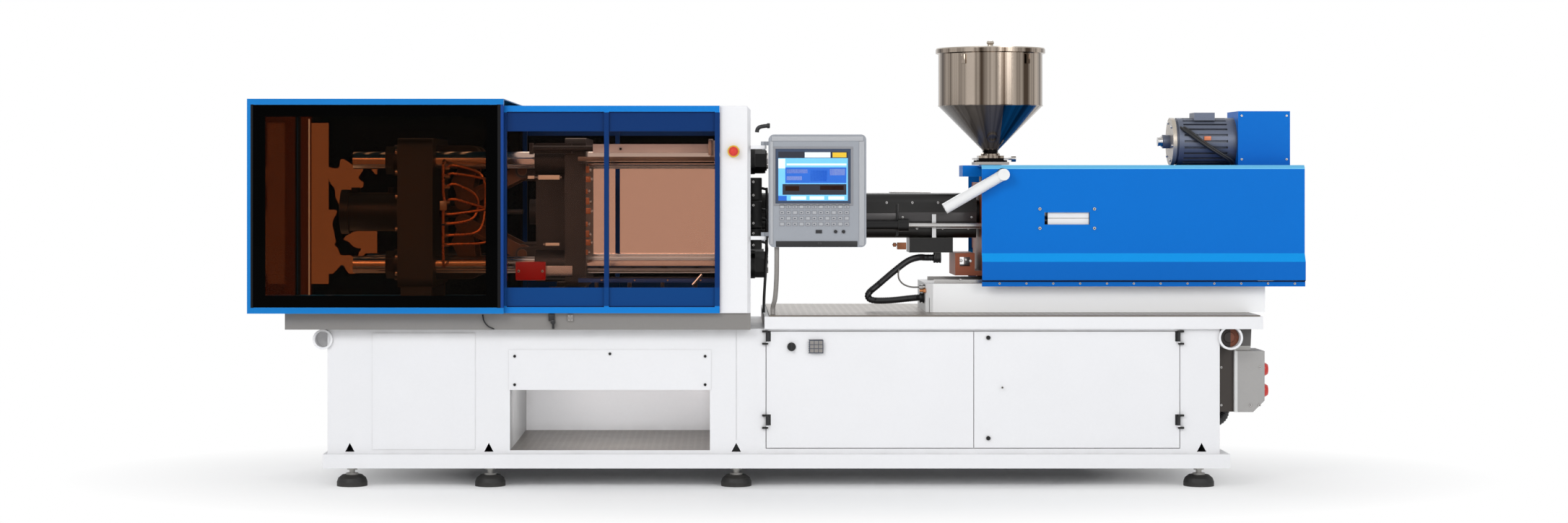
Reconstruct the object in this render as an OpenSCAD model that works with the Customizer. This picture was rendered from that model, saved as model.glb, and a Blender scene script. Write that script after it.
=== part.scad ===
// Horizontal injection moulding machine with a five point toggle clamp.
// X runs along the machine: clamp at -X, injection unit at +X. -Y is the operator side.

/* [Centre line] */
// Height of the clamp and screw centre line above the floor
axis_z = 1155; // [1145:5:1175]
// Distance between tie bar centres
bar_pitch = 450; // [440:5:460]
// Radius of a tie bar
bar_r = 37; // [30:1:40]
// Running clearance of shafts in their bores
fit = 0.06; // [0.02:0.01:0.1]
// Gap between flat faces that slide past each other
slip = 0.3; // [0.3:0.1:0.6]

/* [Bed] */
// Left end of the bed
bed_x0 = -1922; // [-1960:2:-1900]
// Right end of the bed
bed_x1 = 1839; // [1820:1:1860]
// Width of the bed
bed_w = 1000; // [980:10:1040]
// Height of the bed's underside above the floor
foot_gap = 82; // [75:1:95]
// Top face of the bed
bed_top = 668; // [660:1:672]
// Thickness of the bed's walls
wall = 12; // [8:1:16]
// Height of the bottom flange
flange_h = 59; // [40:1:65]
// How far the bottom flange stands out
flange_out = 18; // [10:1:25]
// Height of the deck on the injection side
deck_h = 52; // [40:1:60]
// Overhang of the deck past the bed's right end
deck_over = 179; // [150:1:200]
// Thickness of the tread plates
tread_t = 6; // [4:1:8]

/* [Bed openings] */
// Left side of the part chute
chute_x0 = -1153; // [-1170:1:-1140]
// Right side of the part chute
chute_x1 = -310; // [-330:1:-306]
// Depth of the part chute behind the front wall
chute_depth = 890; // [800:10:900]
// Height of the screwed plate over the chute
chute_plate_h = 164; // [120:2:200]
// Left edge of the cabinet doors
cab_x0 = -75; // [-79:1:-70]
// Seam between the cabinet doors
cab_mid = 802; // [780:1:820]
// Right edge of the cabinet doors
cab_x1 = 1672; // [1660:1:1680]
// Thickness of a cabinet door
door_t = 14; // [10:1:18]

/* [Feet] */
// Radius of a levelling foot
foot_r = 64.5; // [50:0.5:70]
// Distance of the feet from the machine's middle plane
foot_y = 430; // [400:5:450]

/* [Guards] */
// Half width over the guards
guard_y = 620; // [615:1:640]
// Left end of the fixed guard
guard_x0 = -2240; // [-2260:2:-2200]
// Joint between fixed guard and sliding door
guard_x1 = -1170; // [-1180:1:-1160]
// Top of the fixed guard
guard_top = 1634; // [1620:1:1660]
// Top of the sliding doors
door_top = 1606; // [1590:1:1610]
// Height of the door rail
rail_h = 70; // [60:1:74]
// Width of the fixed guard's blue frame
frame_w = 25; // [20:1:35]
// Depth of the recessed bands on a sliding door
band_h = 82; // [60:1:90]
// Thickness of the window panes
pane_t = 5; // [4:1:8]

/* [Clamp] */
// Half height and half width of the platens
platen_h = 320; // [310:5:330]
// Mould face of the fixed platen
fixed_face = -290; // [-292:1:-280]
// Thickness of the fixed platen
fixed_t = 151; // [140:1:155]
// Tail platen pivot line
pivot_x = -1355; // [-1360:1:-1350]
// Height of the tail pivots over the centre line
pivot_z = 245; // [243:1:247]
// Rear link length between pivots
rear_len = 200; // [198:1:202]
// Front link length between pivots
front_len = 290; // [288:1:294]
// Crosshead link length between pivots
cross_len = 129; // [128:1:131]
// Thickness of the moving platen with its ribs
moving_t = 223; // [215:1:230]
// Radius of the big toggle pins
pin_r = 20; // [16:1:22]
// Radius of the crosshead pins
small_pin_r = 14; // [10:1:15]

/* [Injection] */
// Left end of the injection base
base_x0 = 620; // [600:2:640]
// Right end of the injection base
base_x1 = 2080; // [2070:2:2100]
// Height of the injection base
base_h = 122; // [115:1:125]
// Left end of the blue cover
cover_x0 = 855; // [845:1:865]
// Right end of the blue cover
cover_x1 = 2240; // [2230:1:2260]
// Top of the blue cover
cover_top = 1359; // [1350:1:1365]
// Half width of the blue cover
cover_y = 330; // [320:2:345]
// Radius of the barrel
barrel_r = 55; // [45:1:60]
// Radius of the screw
screw_r = 25; // [20:1:28]
// Radius of the drive motor
motor_r = 104; // [90:1:110]

/* [Hopper] */
// Distance of the hopper's axis from the origin
hopper_x = 923; // [915:1:930]
// Radius of the hopper's drum
hopper_r = 228; // [200:2:240]
// Height of the hopper's drum
hopper_h = 227; // [200:1:260]
// Height of the hopper's cone
cone_h = 195; // [180:1:210]
// Wall of the hopper
hopper_t = 3; // [2:0.5:5]

/* [Control panel] */
// Width of the panel
hmi_w = 407; // [390:1:420]
// Height of the panel
hmi_h = 470; // [450:1:490]
// Thickness of the panel
hmi_t = 70; // [60:1:80]
// Width of the screen
screen_w = 314; // [300:1:330]
// Height of the screen
screen_h = 228; // [210:1:235]

/* [Hidden] */
$fn = 48;

white = "WhiteSmoke";
blue = "DodgerBlue";
steel = "Silver";
half_w = bed_w / 2;
flange_top = foot_gap + flange_h;
deck_x0 = cab_x0 - 5;
deck_x1 = bed_x1 + deck_over;
deck_top = bed_top + deck_h;
deck_lip = 20;
chute_z0 = flange_top + 15;
chute_z1 = bed_top - 93;
chute_back = -half_w + chute_depth;
cab_z0 = flange_top + 23;
cab_z1 = bed_top - 8;
rail_x0 = guard_x0 + 148;
rail_x1 = fixed_face + fixed_t;
rail_y = 560;
rail_top = bed_top + rail_h;
pillar_x0 = fixed_face + 22;
door_y0 = guard_y - 35;
door_depth = 35;
door_x0 = guard_x1 - 10;
door_x1 = pillar_x0 - 1;
guard_t = 30;
bars = bar_pitch / 2;
way_y = 260;
way_w = 60;
way_top = bed_top + 32;
foot_xs = [bed_x0 + 94, bed_x0 + 680, cab_x0 - 124, bed_x1 - 76];

// Toggle geometry: the links of one column lie side by side in slabs along Y
open_deg = 98;
shut_deg = 2;
ear_along = 120;
ear_off = 40;
head_z = 75;
front_z = 180;
crosshead_in = 61;
slab_cross = [64, 89];
slab_rear = [92, 136];
slab_front = [139, 169];
slab_outer = [172, 190];
function knee(t) = [pivot_x + rear_len * cos(t), pivot_z - rear_len * sin(t)];
function ear(t) = [pivot_x + ear_along * cos(t) - ear_off * sin(t),
    pivot_z - ear_along * sin(t) - ear_off * cos(t)];
function front_pivot(t) = knee(t)[0] + sqrt(pow(front_len, 2) - pow(knee(t)[1] - front_z, 2));
function head_x(t) = ear(t)[0] + sqrt(pow(cross_len, 2) - pow(ear(t)[1] - head_z, 2));
c_x = front_pivot(open_deg);
d_x = head_x(open_deg);
head_travel = head_x(shut_deg) - d_x;
tail_t = 150;
tail_face = pivot_x - 145;
tail_back = tail_face - tail_t;
moving_back = c_x + 60;
mould_face = moving_back + moving_t;
stroke = front_pivot(shut_deg) - c_x;
safety_z = axis_z + platen_h - 46;
safety_y = -platen_h - 46;
beam_x0 = moving_back + stroke + 2;
rod_r = 25;
cyl_in = 62;
cyl_out = 85;
cyl_len = 283;
ram_x0 = tail_back - 250;

base_z0 = deck_top + tread_t;
base_top = base_z0 + base_h;
base_y = 260;
lm_y = 190;
lm_h = 16;
lm_top = base_top + lm_h;
plate_z = lm_top + 16;
throat_r = 22;
throat_box = 45;
flange_z0 = cover_top + 3;
flange_t = 12;
neck_z0 = flange_z0 + flange_t;
neck_h = 28;
gate_h = 8;
gate_z0 = neck_z0 + 10;
cone_z0 = neck_z0 + neck_h + 23;
drum_z0 = cone_z0 + cone_h;
drum_z1 = drum_z0 + hopper_h;
rim_h = 21;
lid_z0 = drum_z1 + rim_h;
front_plate_x0 = 870;
front_plate_x1 = 1010;
thrust_x0 = 1560;
thrust_x1 = 1680;
drive_x0 = 1985;
drive_x1 = 2015;
ram_y = 190;
pull_y = 135;
pull_z = axis_z - 57;
pull_r = 11;
cover_wall = 5;
inner_y = cover_y - 20 - cover_wall;
tower_x0 = 1991;
tower_x1 = 2217;
motor_x0 = 1701;
motor_z = cover_top + motor_r + 1;
hmi_x0 = -64;
hmi_z0 = 1015;
hmi_y0 = -615;
hinge_x = hmi_x0 - 21;
hinge_y = -570;
button_z = hmi_z0 + 65;
estop_x = pillar_x0 + 57;
estop_z = 1415;
lock_x = cab_mid + 61;
knob_x = cab_x0 + 109;
knob_z = cab_z1 - 67;
door_hinge_y = -half_w - 10;
inlet_y = -half_w + 150;
inlet_z = foot_gap + 229;
inlet_z1 = bed_top - 98;

// Helpers
module box(x0, x1, y0, y1, z0, z1) {
    translate([x0, y0, z0]) cube([x1 - x0, y1 - y0, z1 - z0]);
}
module rod_x(x0, x1, y, z, r) {
    translate([x0, y, z]) rotate([0, 90, 0]) cylinder(h = x1 - x0, r = r);
}
module rod_y(y0, y1, x, z, r) {
    translate([x, y0, z]) rotate([-90, 0, 0]) cylinder(h = y1 - y0, r = r);
}
module both_sides() {
    children();
    mirror([0, 1, 0]) children();
}
module four_bars() {
    for (y = [-bars, bars], z = [-bars, bars]) translate([0, y, axis_z + z]) children();
}
module round_box(x0, x1, y0, y1, z0, z1, r) {
    // Box along Y with rounded vertical-plane corners
    translate([0, y1, 0]) rotate([90, 0, 0]) linear_extrude(y1 - y0) union() {
        translate([x0 + r, z0]) square([x1 - x0 - 2 * r, z1 - z0]);
        translate([x0, z0 + r]) square([x1 - x0, z1 - z0 - 2 * r]);
        for (x = [x0 + r, x1 - r], z = [z0 + r, z1 - r]) translate([x, z]) circle(r = r);
    }
}
module platen_block(x0, x1, r) {
    // Square platen with rounded corners, square to X
    translate([x0, 0, axis_z]) rotate([90, 0, 90]) linear_extrude(x1 - x0) union() {
        square([2 * platen_h, 2 * (platen_h - r)], center = true);
        square([2 * (platen_h - r), 2 * platen_h], center = true);
        for (y = [-1, 1], z = [-1, 1]) translate([y * (platen_h - r), z * (platen_h - r)]) circle(r = r);
    }
}

// Bed
module lifting_ring(x, z, r) {
    difference() {
        rod_y(-half_w - 12, -half_w + 60, x, z, r);
        rod_y(-half_w - 13, -half_w + 48, x, z, r - 9);
    }
}
module jack_mark(x) {
    translate([x, -half_w + wall + 1, flange_top + 9]) rotate([90, 0, 0])
        linear_extrude(wall + 2) polygon([[-20, 0], [20, 0], [0, 38]]);
}
module bed_frame() color(white) difference() {
    union() {
        box(bed_x0, bed_x1, -half_w, half_w, foot_gap, bed_top);
        box(bed_x0 - flange_out, bed_x1 + 41, -half_w - flange_out, half_w + flange_out,
            foot_gap, flange_top);
        difference() {
            box(deck_x0, deck_x1, -half_w - deck_lip, half_w + deck_lip, bed_top, deck_top);
            box(deck_x0 + wall, deck_x1 - wall, -half_w + wall, half_w - wall, bed_top - 1, deck_top - wall);
        }
        both_sides() {
            lifting_ring(bed_x0 - 19, bed_top - 44, 42);
            lifting_ring(bed_x1 + 45, bed_top - 37, 51);
        }
    }
    // Hollow bays
    box(bed_x0 + wall, chute_x0 - wall, -half_w + wall, half_w - wall, foot_gap + wall, bed_top - wall);
    box(chute_x1 + wall, cab_mid - wall / 2, -half_w + wall, half_w - wall, foot_gap + wall, bed_top - wall);
    box(cab_mid + wall / 2, bed_x1 - wall, -half_w + wall, half_w - wall, foot_gap + wall, bed_top - wall);
    box(chute_x0, chute_x1, -half_w + wall, chute_back, chute_z0 - tread_t, bed_top - wall);
    box(chute_x0, chute_x1, chute_back + wall, half_w - wall, chute_z0, bed_top - wall);
    // Openings
    box(chute_x0, chute_x1, -half_w - 1, -half_w + wall + 1, chute_z0, chute_z1);
    box(chute_x0, chute_x1, -way_y + way_w / 2 + 5, way_y - way_w / 2 - 5, bed_top - wall - 1, bed_top + 1);
    box(chute_x0 + 50, chute_x1 - 50, half_w - wall - 1, half_w + 1, chute_z0 + 40, chute_z1);
    both_sides()
        box(bed_x0 + 202, bed_x0 + 610, -half_w - 1, -half_w + wall + 1, flange_top + 31, bed_top - 28);
    box(cab_x0, cab_x1, -half_w - 1, -half_w + wall + 1, cab_z0, cab_z1);
    both_sides() for (x = foot_xs) jack_mark(x);
    // Panel joint
    both_sides() box(cab_x0 - 125, cab_x0 - 122, -half_w - 1, -half_w + 2, flange_top + 60, bed_top);
}
module levelling_feet() color("DimGray") both_sides() for (x = foot_xs) translate([x, -foot_y, 0]) {
    // Rubber dome
    rotate_extrude()
        polygon([[0, 0], [foot_r, 0], [foot_r, 18], [foot_r - 6, 34], [foot_r - 22, 47], [0, 47]]);
    // Steel stud with its collar and lock nut
    translate([0, 0, 47]) cylinder(h = foot_gap - 47, r = 12);
    translate([0, 0, 47]) cylinder(h = 7, r = 26);
    translate([0, 0, foot_gap - 14]) cylinder(h = 14, r = 22, $fn = 6);
}
module tread_plates() color("RosyBrown") {
    box(deck_x0 + 20, deck_x1 - 10, -half_w - 10, half_w + 10, deck_top, deck_top + tread_t);
    box(chute_x0, chute_x1, -half_w + wall, chute_back, chute_z0 - tread_t, chute_z0);
}
module bed_panels() color(white) {
    difference() {
        box(chute_x0 - 5, chute_x1 + 5, -half_w - 3, -half_w, chute_z1 - chute_plate_h, chute_z1 + 5);
        for (p = chute_screws) rod_y(-half_w - 4, -half_w + 1, p[0], p[1], 3);
    }
    both_sides() box(bed_x0 + 190, bed_x0 + 622, -half_w - 3, -half_w, flange_top + 19, bed_top - 18);
    box(chute_x0 + 30, chute_x1 - 30, half_w, half_w + 3, chute_z0 + 20, chute_z1 + 20);
}
chute_screws = [[chute_x0 + 20, chute_z1 - 22], [chute_x1 - 20, chute_z1 - 22],
    [(chute_x0 + chute_x1) / 2, chute_z1 - 12], [chute_x0 + 20, chute_z1 - chute_plate_h + 22],
    [chute_x1 - 20, chute_z1 - chute_plate_h + 22]];
module hinge_pin(x, z, side) {
    // Pin with two lugs screwed to the bed, side is -1 or 1 for the jamb's side
    rod_len = 60;
    translate([x, door_hinge_y, z - rod_len / 2]) cylinder(h = rod_len, r = 3);
    for (dz = [-rod_len / 2, rod_len / 2 - 8]) {
        box(min(x, x + side * 22), max(x, x + side * 22), door_hinge_y - 4, -half_w - 3, z + dz, z + dz + 8);
        box(min(x + side * 8, x + side * 22), max(x + side * 8, x + side * 22), -half_w - 4, -half_w,
            z + dz, z + dz + 8);
    }
}
module bed_fasteners() color("Black") {
    for (p = chute_screws) {
        rod_y(-half_w - 6, -half_w - 3, p[0], p[1], 6);
        rod_y(-half_w - 3, -half_w, p[0], p[1], 3 - slip);
    }
    for (z = [cab_z1 - 28, cab_z0 + 114]) {
        hinge_pin(cab_x0 + 7, z, -1);
        hinge_pin(cab_x1 - 7, z, 1);
    }
}
module guard_rails() color("DarkGray") both_sides() difference() {
    box(rail_x0, rail_x1, -rail_y, -rail_y + 90, bed_top, rail_top);
    box(rail_x0 - 1, rail_x1 + 1, -rail_y + 6, -rail_y + 91, bed_top + 6, rail_top - 6);
}
module slide_ways() color(steel) both_sides() {
    box(tail_back - 120, fixed_face, -way_y - way_w / 2, -way_y + way_w / 2, bed_top, way_top);
    box(base_x0 + 40, base_x1 - 20, -lm_y - 15, -lm_y + 15, base_top, lm_top);
}

// Guards
module window_frame(x0, x1, z0, z1, y0, t, w) {
    difference() {
        box(x0, x1, y0, y0 + t, z0, z1);
        box(x0 + w, x1 - w, y0 - 1, y0 + t + 1, z0 + w, z1 - w);
    }
}
module guard_frame() color(blue) union() {
    both_sides() {
        window_frame(guard_x0, guard_x1, rail_top, guard_top, -guard_y, guard_t, frame_w);
        box(rail_x0, rail_x0 + 34, -guard_y, -rail_y + 80, rail_top, rail_top + frame_w);
    }
    // End frame
    difference() {
        box(guard_x0, guard_x0 + frame_w, -guard_y + 1, guard_y - 1, rail_top, guard_top);
        box(guard_x0 - 1, guard_x0 + frame_w + 1, -guard_y + guard_t, guard_y - guard_t,
            rail_top + frame_w, guard_top - frame_w);
    }
    // Top cover with cooling slots
    difference() {
        box(guard_x0 + 1, guard_x1, -guard_y + 1, guard_y - 1, guard_top - 4, guard_top);
        for (i = [0 : 9])
            box(guard_x0 + 200 + 70 * i, guard_x0 + 220 + 70 * i, -250, 250, guard_top - 5, guard_top + 1);
    }
}
module guard_panes() color("SaddleBrown", 0.6) {
    both_sides() box(guard_x0 + frame_w, guard_x1 - frame_w, -guard_y + 8, -guard_y + 8 + pane_t,
        rail_top + frame_w, guard_top - frame_w);
    box(guard_x0 + 8, guard_x0 + 8 + pane_t, -guard_y + guard_t, guard_y - guard_t,
        rail_top + frame_w, guard_top - frame_w);
}
mullion = 20;
mullion_x = (door_x0 + door_x1) / 2 - 18;
door_bays = [[door_x0 + mullion, mullion_x - mullion / 2], [mullion_x + mullion / 2, door_x1 - mullion]];
pane_z0 = rail_top + frame_w + band_h;
pane_z1 = door_top - frame_w - band_h;
module slider_frame() {
    y0 = -door_y0;
    difference() {
        box(door_x0, door_x1, y0, y0 + door_depth, rail_top + slip, door_top);
        for (s = door_bays) {
            box(s[0], s[1], y0 - 1, y0 + door_depth + 1, pane_z0, pane_z1);
            box(s[0], s[1], y0 - 1, y0 + 12, rail_top + frame_w, pane_z0 + 1);
            box(s[0], s[1], y0 - 1, y0 + 12, pane_z1 - 1, door_top - frame_w);
            box(s[0], s[1], y0 + 16, y0 + door_depth + 1, rail_top + frame_w, pane_z0 + 1);
            box(s[0], s[1], y0 + 16, y0 + door_depth + 1, pane_z1 - 1, door_top - frame_w);
        }
    }
}
module slider_panes() {
    for (s = door_bays)
        box(s[0], s[1], -door_y0 + 16, -door_y0 + 16 + pane_t, pane_z0, pane_z1);
}
module door_frame() color(blue) slider_frame();
module door_panes() color("Wheat", 0.4) slider_panes();
module rear_door_frame() color(blue) mirror([0, 1, 0]) slider_frame();
module rear_door_panes() color("Wheat", 0.4) mirror([0, 1, 0]) slider_panes();
module hmi_arm(z) {
    difference() {
        union() {
            box(rail_x1, hinge_x, hinge_y - 12, hinge_y + 30, z, z + 15);
            translate([hinge_x, hinge_y, z]) cylinder(h = 15, r = 12);
        }
        translate([hinge_x, hinge_y, z - 1]) cylinder(h = 17, r = 6 + fit);
    }
}
pillar_outside = [[pillar_x0, -570], [rail_x1 - 14, -570], [rail_x1, -556], [rail_x1, -420],
    [pillar_x0, -420]];
pillar_inside = [[pillar_x0 + 6, -564], [rail_x1 - 16, -564], [rail_x1 - 6, -553], [rail_x1 - 6, -419],
    [pillar_x0 + 6, -419]];
module pillars() color(white) {
    difference() {
        translate([0, 0, rail_top]) linear_extrude(door_top - rail_top) difference() {
            polygon(pillar_outside);
            polygon(pillar_inside);
        }
        rod_y(-571, -563, estop_x, estop_z, 8 + slip);
        // Chamfered top corner
        translate([rail_x1, 0, door_top]) rotate([0, 45, 0]) box(-12, 12, -600, -400, -12, 12);
    }
    mirror([0, 1, 0]) translate([0, 0, rail_top]) linear_extrude(door_top - rail_top) difference() {
        polygon(pillar_outside);
        polygon(pillar_inside);
    }
    // Arms that carry the control panel
    hmi_arm(hmi_z0 + 30);
    hmi_arm(hmi_z0 + hmi_h - 60);
}
module estop_collar() color("Gold") difference() {
    rod_y(-582, -570, estop_x, estop_z, 25);
    rod_y(-583, -569, estop_x, estop_z, 8 + slip);
}
module estop_button() color("Red") {
    translate([estop_x, -590, estop_z]) rotate([90, 0, 0])
        rotate_extrude() polygon([[0, 0], [18, 0], [20, 6], [19, 14], [12, 20], [0, 22]]);
    rod_y(-590, -565, estop_x, estop_z, 8);
}

// Clamp
module bolt_grid(face, dir, deep) {
    // Mould fixing holes, two rows of three on each side of the centre
    for (y = [-175, 0, 175], z = [-260, 260])
        rod_x(dir > 0 ? face - 1 : face - deep, dir > 0 ? face + deep : face + 1, y, axis_z + z, 8);
    for (y = [-260, 260], z = [-105, 105])
        rod_x(dir > 0 ? face - 1 : face - deep, dir > 0 ? face + deep : face + 1, y, axis_z + z, 8);
}
module fixed_platen() color("DimGray") difference() {
    union() {
        platen_block(fixed_face, fixed_face + fixed_t, 30);
        both_sides() box(fixed_face, fixed_face + fixed_t, -platen_h + 20, -platen_h + 110,
            bed_top, axis_z - platen_h + 1);
    }
    four_bars() rod_x(fixed_face - 1, fixed_face + fixed_t + 1, 0, 0, bar_r);
    rod_x(fixed_face - 1, fixed_face + fixed_t + 1, 0, axis_z, 50);
    translate([fixed_face + 40, 0, axis_z]) rotate([0, 90, 0]) cylinder(h = fixed_t, r1 = 60, r2 = 130);
    bolt_grid(fixed_face, 1, 40);
}
module safety_beam() color(white) {
    // Square beam over the mould space, carried by brackets on the fixed platen's side
    difference() {
        box(beam_x0, fixed_face - 19, safety_y - 19, safety_y + 19, safety_z - 19, safety_z + 19);
        rod_x(beam_x0 - 1, fixed_face - 18, safety_y, safety_z, 14);
    }
    difference() {
        box(fixed_face - 19, fixed_face, safety_y - 24, -platen_h, safety_z - 34, safety_z + 34);
        rod_x(fixed_face - 20, fixed_face + 1, safety_y, safety_z, 16);
    }
    box(fixed_face, fixed_face + 30, safety_y - 24, -platen_h, safety_z - 34, safety_z - 19);
}
module tie_bars() color(steel) four_bars() rod_x(tail_back - 200, fixed_face + fixed_t + 79, 0, 0, bar_r);
module tie_bar_nuts() color("Black") four_bars() difference() {
    union() {
        rod_x(fixed_face + fixed_t, fixed_face + fixed_t + 22, 0, 0, 60);
        translate([fixed_face + fixed_t + 22, 0, 0]) rotate([0, 90, 0]) cylinder(h = 45, r = 56, $fn = 6);
    }
    rod_x(fixed_face + fixed_t - 1, fixed_face + fixed_t + 68, 0, 0, bar_r);
}
module bar(p, q, w, y0, y1) {
    // Flat bar of half width w between two points of the XZ plane
    d = q - p;
    n = [-d[1], d[0]] * w / norm(d);
    translate([0, y1, 0]) rotate([90, 0, 0]) linear_extrude(y1 - y0)
        polygon([p + n, q + n, q - n, p - n]);
}
module eye(p, r, slab) rod_y(slab[0], slab[1], p[0], p[1], r);
module toggle_frame() {
    // Puts upper half geometry of both columns about the centre line
    translate([0, 0, axis_z]) both_sides() children();
}
A = [pivot_x, pivot_z];
B = knee(open_deg);
C = [c_x, front_z];
D = [d_x, head_z];
E = ear(open_deg);
module rear_links() toggle_frame() {
    difference() {
        union() {
            bar(A, B, 30, slab_rear[0], slab_rear[1]);
            bar(A, E, 24, slab_rear[0], slab_rear[1]);
            bar(B, E, 22, slab_rear[0], slab_rear[1]);
            eye(A, 40, slab_rear);
            eye(B, 38, slab_rear);
            eye(E, 26, slab_rear);
        }
        eye((A + B) / 2 + [-6, 0], 12, [slab_rear[0] - 1, slab_rear[0] + 8]);
    }
    eye(A, pin_r, [slab_cross[0] - 4, slab_front[1] + 4]);
}
module front_links() toggle_frame() {
    difference() {
        union() {
            bar(B, C, 30, slab_front[0], slab_front[1]);
            eye(B, 38, slab_front);
            eye(C, 40, slab_front);
        }
        bar(B + (C - B) * 0.25, B + (C - B) * 0.75, 14, slab_front[1] - 8, slab_front[1] + 1);
    }
    eye(B, pin_r, [slab_front[0], slab_front[1] + 4]);
    eye(C, pin_r, [slab_rear[0] - 4, slab_outer[1] + 2]);
}
module cross_links() toggle_frame() {
    bar(D, E, 18, slab_cross[0], slab_cross[1]);
    eye(D, 26, slab_cross);
    eye(E, 26, slab_cross);
    eye(D, small_pin_r, [slab_cross[0] - 34, slab_cross[1]]);
}
module lower_half() translate([0, 0, 2 * axis_z]) mirror([0, 0, 1]) children();
module rear_links_upper() color("Peru") rear_links();
module rear_links_lower() color("Peru") lower_half() rear_links();
module front_links_upper() color("Gray") front_links();
module front_links_lower() color("Gray") lower_half() front_links();
module cross_links_upper() color("Tan") cross_links();
module cross_links_lower() color("Tan") lower_half() cross_links();
module crosshead() color("SlateGray") {
    difference() {
        union() {
            rod_y(-crosshead_in, crosshead_in, d_x, axis_z + head_z, 27);
            rod_y(-crosshead_in, crosshead_in, d_x, axis_z - head_z, 27);
            box(d_x - 27, d_x + 27, -crosshead_in, crosshead_in, axis_z - head_z, axis_z + head_z);
            rod_x(d_x - 45, d_x + 40, 0, axis_z, 34);
        }
        for (z = [-head_z, head_z]) both_sides()
            rod_y(slab_cross[0] - 36, crosshead_in + 1, d_x, axis_z + z, small_pin_r + fit);
        both_sides() rod_x(d_x - 50, d_x + 50, 46, axis_z, 10 + fit);
    }
    // Ram rod and piston
    rod_x(ram_x0, d_x - 45, 0, axis_z, rod_r);
    rod_x(ram_x0 + 10, ram_x0 + 50, 0, axis_z, cyl_in - fit);
}
module lug(x0, p, r, slab) {
    difference() {
        union() {
            box(min(x0, p[0]), max(x0, p[0]), slab[0], slab[1], p[1] - r, p[1] + r);
            eye(p, r, slab);
        }
        eye(p, pin_r + fit, [slab[0] - 1, slab[1] + 1]);
    }
}
module tail_platen() color("SeaGreen") difference() {
    union() {
        difference() {
            platen_block(tail_back, tail_face, 40);
            // Cast pockets between the ribs of the back face
            for (y = [-200, 200])
                box(tail_back - 1, tail_back + 90, y - 50, y + 50, axis_z - 120, axis_z + 120);
            for (z = [-220, 220])
                box(tail_back - 1, tail_back + 90, -120, 120, axis_z + z - 50, axis_z + z + 50);
        }
        both_sides() box(tail_back + 10, tail_face - 10, -way_y - way_w / 2, -way_y + way_w / 2,
            way_top + slip, axis_z - platen_h + 1);
        for (m = [0, 1]) translate([0, 0, m * 2 * axis_z]) mirror([0, 0, m]) toggle_frame() {
            lug(tail_face, A, 45, slab_cross);
            lug(tail_face, A, 45, slab_front);
        }
        // Guide rods of the crosshead
        both_sides() rod_x(tail_face - 40, c_x - 15, 46, axis_z, 10);
    }
    four_bars() rod_x(tail_back - 1, tail_face + 1, 0, 0, bar_r + fit);
    rod_x(tail_back - 1, tail_face + 1, 0, axis_z, rod_r + 5);
}
module clamp_cylinder() color("DimGray") difference() {
    union() {
        rod_x(tail_back - cyl_len, tail_back, 0, axis_z, cyl_out);
        rod_x(tail_back - 30, tail_back, 0, axis_z, 112);
        rod_x(tail_back - cyl_len, tail_back - cyl_len + 35, 0, axis_z, 98);
        // Oil ports
        for (x = [tail_back - cyl_len + 60, tail_back - 60])
            translate([x, 0, axis_z]) cylinder(h = cyl_out + 22, r = 20);
    }
    rod_x(tail_back - cyl_len + 24, tail_back - 25, 0, axis_z, cyl_in);
    rod_x(tail_back - 40, tail_back + 1, 0, axis_z, rod_r + fit);
    for (a = [0 : 60 : 300]) rotate_about_axis(a) rod_x(tail_back - 31, tail_back - 22, 0, axis_z + 98, 9);
}
module rotate_about_axis(a) translate([0, 0, axis_z]) rotate([a, 0, 0]) translate([0, 0, -axis_z]) children();
module die_nuts() color("DarkSlateGray") four_bars() difference() {
    union() {
        rod_x(tail_back - 22, tail_back, 0, 0, 66);
        translate([tail_back - 58, 0, 0]) rotate([0, 90, 0]) cylinder(h = 36, r = 60, $fn = 6);
    }
    rod_x(tail_back - 60, tail_back + 1, 0, 0, bar_r + fit);
}
module moving_platen() color("DimGray") difference() {
    union() {
        platen_block(mould_face - 90, mould_face, 30);
        four_bars() rod_x(moving_back, mould_face - 89, 0, 0, 64);
        // Cast ribs that carry the toggle lugs
        for (s = [slab_rear, slab_outer]) both_sides()
            box(moving_back, mould_face - 89, s[0], s[1], axis_z - 300, axis_z + 300);
        for (z = [axis_z - front_z, axis_z + front_z])
            box(moving_back + 30, mould_face - 89, -slab_outer[1], slab_outer[1], z - 20, z + 20);
        for (m = [0, 1]) translate([0, 0, m * 2 * axis_z]) mirror([0, 0, m]) toggle_frame() {
            lug(moving_back + 1, C, 45, slab_rear);
            lug(moving_back + 1, C, 30, slab_outer);
        }
        both_sides() box(mould_face - 160, mould_face - 20, -way_y - way_w / 2, -way_y + way_w / 2,
            way_top + slip, axis_z - platen_h + 1);
        // Ejector cylinder on the rib box
        rod_x(moving_back - 40, mould_face - 89, 0, axis_z, 55);
        // Bracket and rod of the mechanical safety
        box(moving_back - 15, mould_face - 60, safety_y + 22, -platen_h + 1, safety_z - 20, safety_z + 20);
        box(moving_back - 15, moving_back, safety_y - 18, -platen_h + 1, safety_z - 24, safety_z + 24);
        rod_x(moving_back - 1, fixed_face - 180, safety_y, safety_z, 12);
    }
    four_bars() rod_x(moving_back - 1, mould_face + 1, 0, 0, bar_r + fit);
    rod_x(moving_back - 20, mould_face - 160, 0, axis_z, 42);
    rod_x(mould_face - 161, mould_face + 1, 0, axis_z, 18 + fit);
    bolt_grid(mould_face, -1, 40);
}
module ejector_rods() color(steel) {
    rod_x(moving_back + 10, mould_face - 6, 0, axis_z, 18);
    rod_x(moving_back - 10, moving_back + 10, 0, axis_z, 42 - fit);
}

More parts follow.
